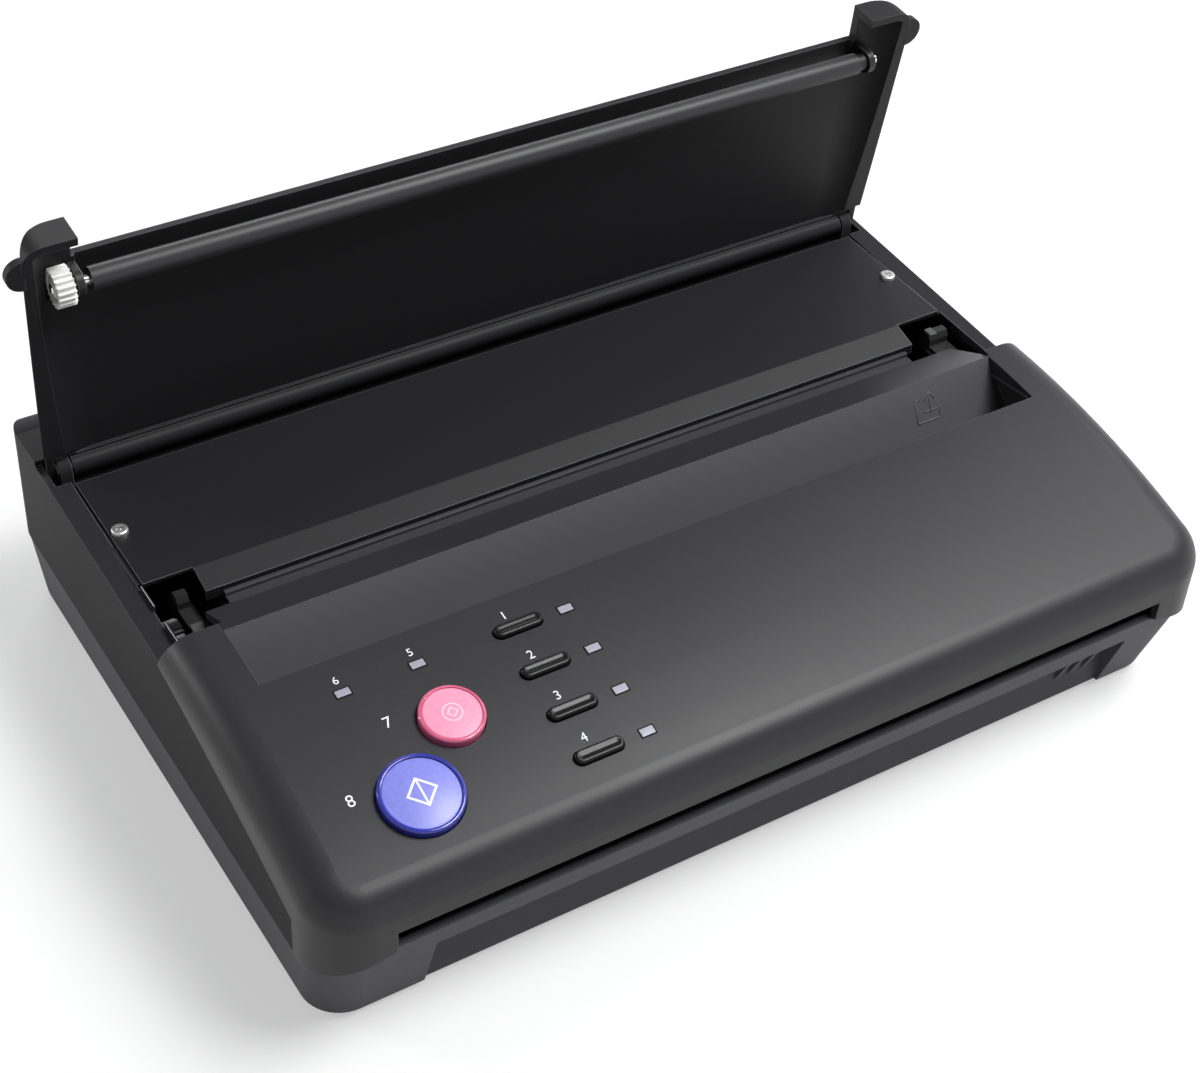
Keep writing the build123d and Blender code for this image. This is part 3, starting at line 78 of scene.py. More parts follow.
camera_data = bpy.data.cameras.new("view_camera")
camera_data.sensor_width = SENSOR_WIDTH
camera_data.lens = FOCAL_PIXELS / IMAGE_WIDTH * SENSOR_WIDTH
camera_data.clip_start, camera_data.clip_end = 0.01, 20.0
camera = bpy.data.objects.new("view_camera", camera_data)
bpy.context.scene.collection.objects.link(camera)
axes = np.eye(4)
axes[:3] = np.stack([right_axis, up_axis, -ahead, camera_place], -1)
camera.matrix_world = Matrix(axes.tolist())
bpy.context.scene.camera = camera
print("lens in mm:", round(camera_data.lens, 1))

# %% [markdown]
# ## Colours and nodes
# A colour is written as the sRGB hex value that a colour picker shows. Blender's shaders work with
# linear light, so one function converts. A second one adds a shader node with its settings and
# links, which keeps each material as short as a list of its nodes.

# %% Three helpers for every material
def linear(hex_colour):
    """sRGB hex to linear RGBA: c / 12.92 up to 0.04045, else ((c + 0.055) / 1.055) ** 2.4."""
    c = np.array([int(hex_colour[i:i + 2], 16) for i in (1, 3, 5)]) / 255
    c = np.where(c <= 0.04045, c / 12.92, ((c + 0.055) / 1.055) ** 2.4)
    return (*[float(v) for v in c], 1.0)


def add(tree, kind, inputs=None, **settings):
    """Adds a node. settings are its properties; inputs maps a socket to a value, or to an output
    that is then linked to it."""
    node = tree.nodes.new(kind)
    for key, value in settings.items():
        setattr(node, key, value)
    for socket, value in (inputs or {}).items():
        target = node.inputs[socket]
        if isinstance(value, bpy.types.NodeSocket):
            tree.links.new(value, target)
        else:
            target.default_value = value
    return node


def new_material(name):
    """An empty material: its tree, its shader and its Object coordinates."""
    material = bpy.data.materials.new(name)
    material.use_nodes = True
    tree = material.node_tree
    tree.nodes.clear()
    shader = add(tree, "ShaderNodeBsdfPrincipled")
    add(tree, "ShaderNodeOutputMaterial", {"Surface": shader.outputs[0]})
    place = add(tree, "ShaderNodeTexCoord").outputs["Object"]
    return material, tree, shader, place


print("anthracite in linear light:", [round(v, 4) for v in linear("#3a3a3c")[:3]])

# %% [markdown]
# ## The finishes
# Nearly everything one sees is black, and what tells the parts apart is how each black was made:
# the casings are spark-eroded ABS, a dull grain that spreads the light; the lid's inside is moulded
# against a smoother tool; the deck is sheet steel with satin paint. Scanned grain would be one way;
# worked-out noise is the other, and it is used here because it has no seams and no edge.

# %% What finishes share: mottled colour and a painted highlight on edges
EDGE_START, EDGE_FULL = 0.995, 0.875    # n.n' where the painted edge highlight begins, and where it is full


def mottled(tree, colour, noise, speck, low=0.0, high=1.0):
    """The colour times a factor that goes from 1 - speck to 1 + speck, as noise goes from low to
    high."""
    tint = add(tree, "ShaderNodeMapRange", {"Value": noise, "From Min": low, "From Max": high,
                                            "To Min": 1 - speck, "To Max": 1 + speck})
    shade = add(tree, "ShaderNodeMix", {"Factor": 1.0, 6: linear(colour), 7: tint.outputs[0]},
                data_type="RGBA", blend_type="MULTIPLY")
    return shade.outputs[2]


def painted_edge_highlights(tree, bump, shade, edge, highlit, highlight_colour):
    """Rounds the normals over edge mm, and paints a highlight on the edges: the shade is mixed with
    the highlight's colour by the given share times (EDGE_START - n.n') / (EDGE_START - EDGE_FULL),
    n and n' being the normal before and after."""
    rounded = add(tree, "ShaderNodeBevel", {"Radius": edge * MM}, samples=4).outputs[0]
    plain = add(tree, "ShaderNodeNewGeometry").outputs["Normal"]
    same = add(tree, "ShaderNodeVectorMath", {0: rounded, 1: plain}, operation="DOT_PRODUCT")
    on_edge = add(tree, "ShaderNodeMapRange", {"Value": same.outputs["Value"],
                                               "From Min": EDGE_START, "From Max": EDGE_FULL})
    tree.links.new(rounded, bump.inputs["Normal"])
    share = add(tree, "ShaderNodeMath", {0: on_edge.outputs[0], 1: highlit}, operation="MULTIPLY")
    mixed = add(tree, "ShaderNodeMix", {"Factor": share.outputs[0], 6: shade, 7: linear(highlight_colour)},
                data_type="RGBA")
    return mixed.outputs[2]


def painted_light_patch(tree, place, shade, colour, x, y0, y1):
    """The shade, but colour where |X| < x and |Y - (y0 + y1) / 2| < (y1 - y0) / 2, all in mm: a
    patch of painted light.
    """
    spot = add(tree, "ShaderNodeSeparateXYZ", {0: place})
    across = add(tree, "ShaderNodeMath", {0: spot.outputs["X"]}, operation="ABSOLUTE")
    across = add(tree, "ShaderNodeMath", {0: across.outputs[0], 1: x * MM}, operation="LESS_THAN")
    along = add(tree, "ShaderNodeMath", {0: spot.outputs["Y"], 1: (y0 + y1) / 2 * MM,
                                         2: (y1 - y0) / 2 * MM}, operation="COMPARE")
    within = add(tree, "ShaderNodeMath", {0: across.outputs[0], 1: along.outputs[0]},
                 operation="MULTIPLY")
    mixed = add(tree, "ShaderNodeMix", {"Factor": within.outputs[0], 6: shade, 7: linear(colour)},
                data_type="RGBA")
    return mixed.outputs[2]


# Rounding at which the painted edge highlight begins.
edge_lean = math.degrees(math.acos(EDGE_START))
print("an edge looks worn from", round(edge_lean, 1), "degrees of rounding on")

# %% Moulded plastics
WANDER = 60.0               # mm over which the polish of a large face changes, a hand's width
PLASTIC_EDGE_HIGHLIGHT = "#a6a6a8"    # painted highlight on the edges, lighter than any of the plastics
PIT, LAND = 0.35, 0.65      # noise at the foot of a pit, and on the land between pits


def moulded(name, colour, rough, grain=0.7, depth=0.012, level=0.5, drift=0.06, speck=0.05,
            stretch=(1, 1, 1), edge=0.0, highlit=0.0, painted_lit_part=None):
    """ABS as it leaves the tool. grain (mm) is the spark-erosion pit and depth (mm) how deep it is;
    drift is how much the polish wanders, which breaks up long highlights; speck is how much pits
    and lands differ in colour; stretch pulls the grain along an axis; edge (mm) is the tool's small
    edge radius, and the next argument how much a painted highlight lightens such edges. The last
    argument is (colour, x, y0, y1): a lighter colour, painted light, for what lies within x mm of
    the middle and between y0 and y1 mm."""
    # A real pit is about 0.1 mm wide, too fine to show, so each is drawn several times as coarse.
    material, tree, shader, place = new_material(name)
    place = add(tree, "ShaderNodeMapping", {"Vector": place, "Scale": stretch}).outputs[0]
    pits = add(tree, "ShaderNodeTexNoise", {"Vector": place, "Scale": 1 / (grain * MM),
                                            "Detail": 2.0}).outputs["Fac"]
    bump = add(tree, "ShaderNodeBump", {"Height": pits, "Distance": depth * MM, "Strength": 1.0})
    flow = add(tree, "ShaderNodeTexNoise", {"Vector": place, "Scale": 1 / (WANDER * MM),
                                            "Detail": 3.0}).outputs["Fac"]
    polish = add(tree, "ShaderNodeMapRange", {"Value": flow, "To Min": rough - drift,
                                              "To Max": rough + drift})
    shade = mottled(tree, colour, pits, speck, PIT, LAND)
    # Painted light: a lighter colour where the chute's floor lies.
    if painted_lit_part:
        shade = painted_light_patch(tree, place, shade, *painted_lit_part)
    if edge:
        shade = painted_edge_highlights(tree, bump, shade, edge, highlit, PLASTIC_EDGE_HIGHLIGHT)
    tree.links.new(shade, shader.inputs["Base Color"])
    tree.links.new(polish.outputs[0], shader.inputs["Roughness"])
    tree.links.new(bump.outputs[0], shader.inputs["Normal"])
    shader.inputs["Specular IOR Level"].default_value = level
    return material


# Spark-eroded ABS: the pits scatter a lamp into a broad dull patch. The chute's floor belongs to
# the cover's moulding; it gets a lighter colour there, painted light for the light it catches.
CHUTE_FLOOR_PAINTED_LIGHT = ("#565659", 123.3, -36.4, -15.9)
cover_abs = moulded("abs_spark_eroded_charcoal", "#323234", 0.40, level=0.28, edge=0.35, highlit=0.25,
                    painted_lit_part=CHUTE_FLOOR_PAINTED_LIGHT)
casing_abs = moulded("abs_spark_eroded_black", "#2e2e30", 0.55, level=0.06, edge=0.35, highlit=0.5)
tray_abs = moulded("abs_spark_eroded_grey", "#5a5a5d", 0.52, level=0.1, edge=0.35, highlit=0.2)
# Satin ABS from a blasted tool: shallower pits, so the lid keeps a faint, soft highlight.
lid_abs = moulded("abs_satin_black", "#222224", 0.5, grain=0.9, depth=0.006, level=0.2,
                  edge=0.4, highlit=0.25)
# ABS straight from the cutter's marks, for parts that nobody is meant to look at.
inner_abs = moulded("abs_tool_finish_black", "#1b1b1c", 0.5, grain=0.5, depth=0.01)
# Black acetal: waxy and even, which leaves the gear in the pocket nearly unseen.
inner_gear = moulded("acetal_moulded_black", "#222224", 0.4, grain=1.5, depth=0.001, drift=0.04)
print("moulded finishes:", [m.name for m in (cover_abs, casing_abs, tray_abs, lid_abs, inner_abs)])

# %% [markdown]
# ## Metals, rubber and small plastics
# A metal's colour is its reflection, so it gets metallic 1, its own tint and a roughness that says
# how it was worked: zinc plating is cloudy, a turned shaft has rings round it, an extrusion has
# lines along it. Stretching the noise along one axis draws such lines.

# %% Worked metals
def worked_metal(name, colour, rough, stretch=(1, 1, 1), grain=0.4, depth=0.004, drift=0.08):
    """A metal whose tool marks are noise of grain mm, squeezed by stretch; high and low spots of
    the marks differ in polish by drift."""
    material, tree, shader, place = new_material(name)
    place = add(tree, "ShaderNodeMapping", {"Vector": place, "Scale": stretch}).outputs[0]
    marks = add(tree, "ShaderNodeTexNoise", {"Vector": place, "Scale": 1 / (grain * MM),
                                             "Detail": 3.0}).outputs["Fac"]
    bump = add(tree, "ShaderNodeBump", {"Height": marks, "Distance": depth * MM})
    polish = add(tree, "ShaderNodeMapRange", {"Value": marks, "To Min": rough - drift,
                                              "To Max": rough + drift})
    shader.inputs["Base Color"].default_value = linear(colour)
    shader.inputs["Metallic"].default_value = 1.0
    tree.links.new(polish.outputs[0], shader.inputs["Roughness"])
    tree.links.new(bump.outputs[0], shader.inputs["Normal"])
    return material


# Zinc plate has a cloudy bloom of a few millimetres; passivated black, it is the same, but dark.
zinc = worked_metal("steel_zinc_plated", "#e2e2df", 0.46, grain=2.5)
black_zinc = worked_metal("steel_black_passivated", "#3b3b3d", 0.42, grain=2.5)
# Ground steel draws a sharp bright line along a shaft; its rings are squeezed along the axis.
turned = worked_metal("steel_ground_shaft", "#dadadb", 0.16, stretch=(4, 1, 1), grain=1.2)
# A sheared edge is torn rather than cut, and looks grey beside the plate's faces.
plate_edge = worked_metal("steel_sheared_edge", "#77777a", 0.38, grain=1.0)
# Extruded aluminium carries the die's lines for its whole length, so light fans out across them.
extruded = worked_metal("aluminium_extruded", "#d3d4d6", 0.32, stretch=(0.02, 1, 1), grain=0.5)
print("metals:", [m.name for m in (zinc, black_zinc, turned, plate_edge, extruded)])

# %% Satin paint and polished plastic
PEEL, SPECK, SWIRL = 2.5, 0.6, 6.0      # mm: orange peel, its specks, and the swirl in a tint
PEEL_DEPTH, SPECK_SHARE = 0.012, 0.35   # mm of relief, and how much of it the specks add
MOTTLE = 0.15                           # how far the tone goes either way
PAINT_EDGE_HIGHLIGHT = "#b0b0b2"                  # painted highlight on the paint's edges
SKIN_DEPTH = 1.2                        # mm that light goes into tinted plastic


def satin_paint(name, colour, rough, edge=0.3, highlit=0.55):
    """Stoved paint on sheet steel: its height is SPECK_SHARE * speck + peel, and its edges get a
    painted highlight."""
    material, tree, shader, place = new_material(name)
    peel = add(tree, "ShaderNodeTexNoise", {"Vector": place, "Scale": 1 / (PEEL * MM),
                                            "Detail": 1.0}).outputs["Fac"]
    speck = add(tree, "ShaderNodeTexNoise", {"Vector": place, "Scale": 1 / (SPECK * MM),
                                             "Detail": 1.0}).outputs["Fac"]
    height = add(tree, "ShaderNodeMath", {0: speck, 1: SPECK_SHARE, 2: peel},
                 operation="MULTIPLY_ADD")
    bump = add(tree, "ShaderNodeBump", {"Height": height.outputs[0], "Distance": PEEL_DEPTH * MM})
    shade = mottled(tree, colour, speck, MOTTLE)
    shade = painted_edge_highlights(tree, bump, shade, edge, highlit, PAINT_EDGE_HIGHLIGHT)
    tree.links.new(shade, shader.inputs["Base Color"])
    tree.links.new(bump.outputs[0], shader.inputs["Normal"])
    shader.inputs["Roughness"].default_value = rough
    shader.inputs["Specular IOR Level"].default_value = 0.35
    return material


def polished(name, colour):
    """Tinted plastic with a polished skin: light goes a little way in, and the skin mirrors the
    lamps."""
    material, tree, shader, place = new_material(name)
    swirl = add(tree, "ShaderNodeTexNoise", {"Vector": place, "Scale": 1 / (SWIRL * MM),
                                             "Detail": 2.0}).outputs["Fac"]
    tree.links.new(mottled(tree, colour, swirl, MOTTLE), shader.inputs["Base Color"])
    shader.inputs["Roughness"].default_value = 0.12
    shader.inputs["Subsurface Weight"].default_value = 0.35
    shader.inputs["Subsurface Radius"].default_value = (SKIN_DEPTH * MM,) * 3
    shader.inputs["Coat Weight"].default_value = 0.5
    shader.inputs["Coat Roughness"].default_value = 0.04
    return material


# Stoved satin paint: smoother than the casings, so the deck mirrors the lamps in a soft sheen.
black_paint = satin_paint("steel_stoved_satin_black", "#212123", 0.42)
print("paint:", black_paint.name)

# %% Rubber, acetal, glass, ceramic and boards
# Ground rubber drinks light; ground lengthwise, a roller shows a dim band along its whole length.
rubber = moulded("rubber_ground_black", "#161617", 0.62, grain=0.35, depth=0.02, level=0.35)
roller_rubber = moulded("rubber_ground_lengthwise", "#2e2e30", 0.45, grain=0.5, depth=0.012,
                        level=0.4, speck=0.12, stretch=(0.02, 1, 1))
# White acetal is the one bright part of the works, waxy and without grain.
acetal = moulded("acetal_moulded_white", "#f6f6f3", 0.36, grain=1.5, depth=0.0006, drift=0.04,
                 speck=0.01)
# The glaze over the heating line mirrors a lamp; solder mask is a thin green gloss over copper.
ceramic = moulded("ceramic_glazed_head", "#3d3d40", 0.28, grain=1.5, depth=0.002)
board_green = moulded("glass_epoxy_solder_mask", "#1d4a2c", 0.3, grain=1.8, depth=0.01)
part_black = moulded("epoxy_moulded_parts", "#1a1a1b", 0.42, grain=0.5, depth=0.008)
# The sensor's glass is seen edge-on against black, as a smooth pale strip.
glass = moulded("glass_strip", "#b9c4c2", 0.08, grain=3.0, depth=0.001)
print("small finishes ready")

# %% [markdown]
# ## Which node is made of what
# Each CAD node that keeps its own shape gets its finish here. One table is easier to check than
# fifty assignments, and a node that is missing from it stops the script. A node that a finer piece
# replaces later has a row too, so that the table stays whole.

# %% The table of finishes
finish_of = {
    cover_abs: ["front_cover"],
    casing_abs: ["upper_housing"],
    tray_abs: ["base_tray"],
    lid_abs: ["lid_shell"],
    inner_abs: ["paper_guide", "sensor_bar", "bearing_block_left", "bearing_block_right",
                "platen_bush", "feed_bushes", "power_inlet", "switch_frame", "switch_rocker",
                "mode_button_1", "mode_button_2", "mode_button_3", "mode_button_4"],
    black_paint: ["inner_plate", "platen_brackets"],
    zinc: ["deck_screws", "tray_screws", "head_springs", "hinge_pins", "board_standoffs"],
    black_zinc: ["side_plate_left", "side_plate_right", "gear_plate", "cross_channel"],
    turned: ["platen_shaft", "feed_shaft", "motor_shaft", "gear_axles"],
    extruded: ["head_heat_sink", "motor"],
    rubber: ["rubber_feet", "feed_rubber"],
    roller_rubber: ["platen_rubber"],
    inner_gear: ["drive_gear"],
    acetal: ["platen_gear", "idler_gear", "transfer_gear", "feed_gear", "motor_pinion",
             "light_windows", "copy_button", "copy_button_face", "stop_button",
             "stop_button_face"],
    ceramic: ["head_strip"],
    board_green: ["key_board", "main_board", "power_board"],
    part_black: ["key_switches", "main_board_parts", "power_board_parts"],
    glass: ["sensor_glass"],
}
for material, names in finish_of.items():
    for name in names:
        nodes[name].data.materials.clear()
        nodes[name].data.materials.append(material)
unfinished = set(nodes) - {name for names in finish_of.values() for name in names}
assert not unfinished, unfinished
print("finished nodes:", sum(len(names) for names in finish_of.values()))

# %% [markdown]
# ## Surfaces from grids of points
# A turned knob, a pill-shaped key and a gear are all one idea: a sheet of points with rows and
# columns. numpy works out the whole sheet at once, and the faces between neighbours follow from
# counting. A lathe modifier could turn a profile too, but only a profile; the sheet does them all.

# %% From a sheet of points to a piece
def sheet_faces(rows, columns, wrap):
    """Quads between neighbouring rows and columns; wrap joins the last column to the first."""
    i, j = np.meshgrid(np.arange(rows - 1), np.arange(columns if wrap else columns - 1),
                       indexing="ij")
    here, beside = i * columns + j, i * columns + (j + 1) % columns
    return np.stack([here, beside, beside + columns, here + columns], -1).reshape(-1, 4)


def piece(name, sheets, material, body, replaces=(), sharp=35):
    """One object from (points in mm, wrap) sheets, its doubles merged and its faces outwards."""
    points = np.concatenate([p.reshape(-1, 3) for p, _ in sheets]) * MM
    starts = np.cumsum([0] + [p.shape[0] * p.shape[1] for p, _ in sheets])
    faces = np.concatenate([sheet_faces(*p.shape[:2], wrap) + start
                            for (p, wrap), start in zip(sheets, starts)])
    mesh = bpy.data.meshes.new(name)
    mesh.from_pydata(points, [], faces)
    return finish_piece(name, mesh, material, body, replaces, sharp)


def finish_piece(name, mesh, material, body, replaces=(), sharp=35, merge=0.004):
    """Merges doubles nearer than merge mm, turns faces outwards, smooths edges below the sharp
    angle and rides the piece on its body."""
    work = bmesh.new()
    work.from_mesh(mesh)
    bmesh.ops.remove_doubles(work, verts=work.verts, dist=merge * MM)
    bmesh.ops.dissolve_degenerate(work, edges=work.edges, dist=merge * MM)
    bmesh.ops.recalc_face_normals(work, faces=work.faces)
    work.to_mesh(mesh)
    work.free()
    mesh.shade_smooth()
    mesh.set_sharp_from_angle(angle=math.radians(sharp))
    mesh.materials.clear()
    mesh.materials.append(material)
    obj = bpy.data.objects.new(name, mesh)
    bpy.context.scene.collection.objects.link(obj)
    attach(obj, body)
    if replaces:
        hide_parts(*replaces)
    return obj


def turned_sheet(profile, segments=96):
    """Profile of (radius, height) points turned about Z: x = r cos t, y = r sin t, z = h."""
    r, h = np.array(profile, float).T
    t = np.linspace(0, 2 * np.pi, segments, endpoint=False)
    return np.stack([np.outer(r, np.cos(t)), np.outer(r, np.sin(t)),
                     np.outer(h, np.ones_like(t))], -1)


def arc(centre, radius, start, stop, steps):
    """Points centre + radius (cos t, sin t), for steps angles t from start to stop degrees."""
    t = np.radians(np.linspace(start, stop, steps))
    return np.stack([centre[0] + radius * np.cos(t), centre[1] + radius * np.sin(t)], -1)


print("a disc of 96 segments has", len(sheet_faces(10, 96, True)), "quads for ten rows")

# %% [markdown]
# ## The crown that the keys stand on
# The cover's top is an arc seen from the side, so each key leans with it. One function places
# anything drawn flat at a spot of the crown: across stays across, along follows the slope, and up
# goes out along the normal.

# %% Placing things on the crown
CROWN_RADIUS, CROWN_Y, CROWN_Z = 278.0, -10.0, 66.1


def on_crown(points, x, y):
    """Moves (u, v, w) to the crown at (x, y), where it leans by a = asin((CROWN_Y - y) / R), to
    x + u, y + v cos a - w sin a, z + v sin a + w cos a."""
    a = math.asin((CROWN_Y - y) / CROWN_RADIUS)
    z = CROWN_Z - CROWN_RADIUS * (1 - math.cos(a))
    u, v, w = np.moveaxis(np.asarray(points, float), -1, 0)
    return np.stack([x + u, y + v * math.cos(a) - w * math.sin(a),
                     z + v * math.sin(a) + w * math.cos(a)], -1)


COPY_PLACE, STOP_PLACE = (-102.8, -82.0), (-85.5, -65.6)
copy_lean = math.asin((CROWN_Y - COPY_PLACE[1]) / CROWN_RADIUS)
print("lean of the copy key in degrees:", round(math.degrees(copy_lean), 1))

# %% [markdown]
# ## The two round keys
# A round key is turned: one profile of radius and height, spun about the key's axis. The cap is
# tinted polished plastic with a rolled edge, a flange below the cover that stops it from falling
# out, and a stem that meets its switch. The face is a satin disc glued in the cap's shallow seat,
# slightly domed so that a finger finds its middle. A lathe modifier would do as well; a sheet of
# points keeps cap and face in step, because both read the same radii.

# %% Caps and faces
# Polished styrene mirrors the lamps round its rolled edge; the satin faces only glow softly.
tinted_blue = polished("styrene_tinted_blue", "#3238a4")
tinted_pink = polished("styrene_tinted_pink", "#d9668a")
face_blue = moulded("styrene_satin_lavender", "#8489e0", 0.30, grain=1.2, depth=0.002, drift=0.05)
face_pink = moulded("styrene_satin_pink", "#f39dba", 0.30, grain=1.2, depth=0.002, drift=0.05)

# Heights over the cover in mm, and AXIS, a radius so small that its ring merges to a point.
PROUD, SEAT, FACE_FOOT, FACE_RISE = 2.2, 1.4, 1.41, 0.35
FLANGE_TOP, FLANGE_FOOT = -2.8, -3.8
DOME, AXIS = 60.0, 0.001


def dome_height(u, v):
    """Height of the face: its top less R - sqrt(R^2 - u^2 - v^2), for a dome of radius R."""
    return PROUD + FACE_RISE - (DOME - np.sqrt(DOME ** 2 - u ** 2 - v ** 2))


def cap_profile(radius, seat, stem_end):
    """From the stem's foot up the outside and over the rolled edge into the seat."""
    stem, flange, rolled, lip = 2.0, radius + 1, 0.7, 0.12
    outside = [(AXIS, stem_end), (stem, stem_end), (stem, FLANGE_FOOT), (flange, FLANGE_FOOT),
               (flange, FLANGE_TOP), (radius, FLANGE_TOP)]
    return np.concatenate([outside, arc((radius - rolled, PROUD - rolled), rolled, 0, 80, 8),
                           arc((seat + lip, PROUD - lip), lip, 100, 180, 4),
                           [(seat, SEAT), (AXIS, SEAT)]])


def face_profile(seat):
    """Flat underside, a short wall, a small round and the dome."""
    rounded, wall, dome_edge = 0.4, seat - 0.04, seat - 0.5
    r = np.linspace(dome_edge, AXIS, 14)
    top = dome_height(dome_edge, 0.0)
    return np.concatenate([[(AXIS, FACE_FOOT), (wall, FACE_FOOT)],
                           arc((wall - rounded, top - rounded), rounded, 0, 82, 6),
                           np.stack([r, dome_height(r, 0.0)], -1)])


def round_key(name, place, radius, seat, stem_end, cap_material, face_material, body):
    """Cap and face of one key, turned and set on the crown."""
    cap_sheet = on_crown(turned_sheet(cap_profile(radius, seat, stem_end), 128), *place)
    face_sheet = on_crown(turned_sheet(face_profile(seat), 128), *place)
    cap = piece(name + "_cap", [(cap_sheet, True)], cap_material, body,
                [name + "_button"])
    face = piece(name + "_face", [(face_sheet, True)], face_material, body,
                 [name + "_button_face"], sharp=50)
    print(name, "key:", len(cap.data.polygons), "and", len(face.data.polygons), "faces")


round_key("copy", COPY_PLACE, 11.0, 9.9, -4.389, tinted_blue, face_blue, "copy_key")
round_key("stop", STOP_PLACE, 8.6, 7.6, -4.740, tinted_pink, face_pink, "stop_key")

# %% [markdown]
# ## The marks on the round keys
# The marks are printed: a diamond with a stroke for starting, a ring for stopping. A print is a
# film of ink some hundredths of a millimetre high. Each mark is a line with mitred corners, made
# into a band that follows the dome; an image texture would blur at its edge, the band doesn't.

# %% Bands that follow a surface
# Screen-printed ink is matt and flat: it keeps its own tone where the face below it shines.
ink_white = moulded("ink_screen_printed_white", "#f2f2f4", 0.5, grain=0.5, depth=0.001, level=0.3)
ink_faint = moulded("ink_screen_printed_pale", "#ffd3e0", 0.45, grain=0.5, depth=0.001, level=0.3)
INK = 0.03                  # mm of ink


def band_edges(path, width, closed):
    """Both edges of a stroke: at a corner they lie half the width times (n1 + n2) / (1 + n1.n2)
    off the path."""
    path = np.asarray(path, float)
    step = np.roll(path, -1, 0) - path
    normal = np.stack([-step[:, 1], step[:, 0]], -1)
    normal /= np.linalg.norm(step, axis=1, keepdims=True).clip(1e-9)
    before = np.roll(normal, 1, 0)
    if not closed:
        normal[-1], before[0] = before[-1], normal[0]
    mitre = (normal + before) / (1 + (normal * before).sum(1, keepdims=True))
    return path + mitre * width / 2, path - mitre * width / 2


def printed_band(path, width, closed, surface, film=INK):
    """Sheet across the stroke: down one side, over the top and down the other, at
    surface(u, v) + film."""
    left, right = band_edges(path, width, closed)
    sunk, shoulder = -0.02, film * 0.6
    lines = [(left, sunk), (left, shoulder), (left * 0.9 + right * 0.1, film),
             (left * 0.1 + right * 0.9, film), (right, shoulder), (right, sunk)]
    return np.stack([np.stack([e[:, 0], e[:, 1], surface(e[:, 0], e[:, 1]) + height], -1)
                     for e, height in lines]), closed


def split_path(corners, closed, step=0.5):
    """Points every step millimetres along straight runs, so that a band can bend with a dome."""
    corners = np.asarray(corners, float)
    ends = np.roll(corners, -1, 0) if closed else corners[1:]
    starts = corners if closed else corners[:-1]
    counts = [max(2, int(length / step)) for length in np.linalg.norm(ends - starts, axis=1)]
    runs = [a + (b - a) * np.linspace(0, 1, count, endpoint=False)[:, None]
            for a, b, count in zip(starts, ends, counts)]
    return np.concatenate(runs + ([] if closed else [corners[-1:]]))


diamond = 3.9 * np.array([(0, 1), (1, 0), (0, -1), (-1, 0)])
turn = np.linspace(0, 2 * np.pi, 48, endpoint=False)
ring = 2.5 * np.stack([np.cos(turn), np.sin(turn)], -1)
copy_marks = [(diamond, 0.62, True), (diamond[[0, 2]] * 0.93, 0.55, False)]
stop_marks = [(ring, 0.36, True), (diamond * 0.36, 0.34, True)]
for name, place, marks, ink, body in (
        ("copy_mark", COPY_PLACE, copy_marks, ink_white, "copy_key"),
        ("stop_mark", STOP_PLACE, stop_marks, ink_faint, "stop_key")):
    bands = [printed_band(split_path(path, closed), width, closed, dome_height)
             for path, width, closed in marks]
    mark = piece(name, [(on_crown(rows, *place), wrap) for rows, wrap in bands], ink, body,
                 sharp=80)
    print(name, "has", len(mark.data.vertices), "points")

# %% [markdown]
# ## Four pill keys
# Each mode key is a pill of 14 by 4 mm with a rounded top. The outline is two half circles; drawn
# in by a little at each height it gives the rounding, which is what a designer's fillet does. A
# shallow dish along the top catches the light at the rear edge, as moulded keys have it.

# %% Pill keys
# Polished black ABS: nearly a mirror at its edges, so the lamps draw the keys' tops.
key_black = moulded("abs_polished_black", "#0f0f11", 0.30, grain=0.8, depth=0.001, level=0.3,
                    drift=0.04)


def pill_outline(length, width, count=32):
    """Two half circles of radius width / 2, their centres length - width apart."""
    t = np.linspace(-np.pi / 2, np.pi / 2, count)
    half = np.stack([(length - width) / 2 + width / 2 * np.cos(t), width / 2 * np.sin(t)], -1)
    return np.concatenate([half, -half])


def pill_sheet(length, width, levels):
    """Outlines drawn in by an inset at each height, levels being (inset, height) pairs."""
    rings = []
    for inset, height in levels:
        outline = pill_outline(length - 2 * inset, max(width - 2 * inset, 0.002))
        rings.append(np.concatenate([outline, np.full((len(outline), 1), height)], 1))
    return np.stack(rings)


def rounded_levels(low, high, width, radius, dish=0.0):
    """Up a wall, over a round of that radius, and inwards to a dish of that depth."""
    corner = arc((radius, high - radius), radius, 180, 100, 8)
    reach = np.linspace(radius, width / 2 - 0.01, 8)
    inward = np.sin(np.pi / 2 * (reach - radius) / (width / 2 - radius))
    top = np.stack([reach, high - dish * inward ** 2], -1)
    return np.concatenate([[(width / 2 - 0.01, low), (0, low)], corner, top])


PILL_X, PILL_YS = -56.5, (-47.9, -61.9, -75.4, -88.5)
STEM_ENDS = (-4.023, -4.683, -4.650, -3.969)
STEM_RADIUS, STEM_TOP = 1.5, -3.7
PILL_LENGTH, PILL_WIDTH, PILL_PROUD = 14.0, 4.0, 1.5
PILL_ROUND, PILL_DISH = 0.75, 0.22
FLANGE_OUT, FLANGE_IN = 1.0, 2.99       # mm beyond the pill, and in from its own rim to the middle
pill_top = pill_sheet(PILL_LENGTH, PILL_WIDTH,
                      rounded_levels(FLANGE_TOP, PILL_PROUD, PILL_WIDTH, PILL_ROUND, PILL_DISH))
pill_flange = pill_sheet(PILL_LENGTH + 2 * FLANGE_OUT, PILL_WIDTH + 2 * FLANGE_OUT,
                         [(FLANGE_IN, FLANGE_FOOT), (0, FLANGE_FOOT), (0, FLANGE_TOP),
                          (FLANGE_IN, FLANGE_TOP)])
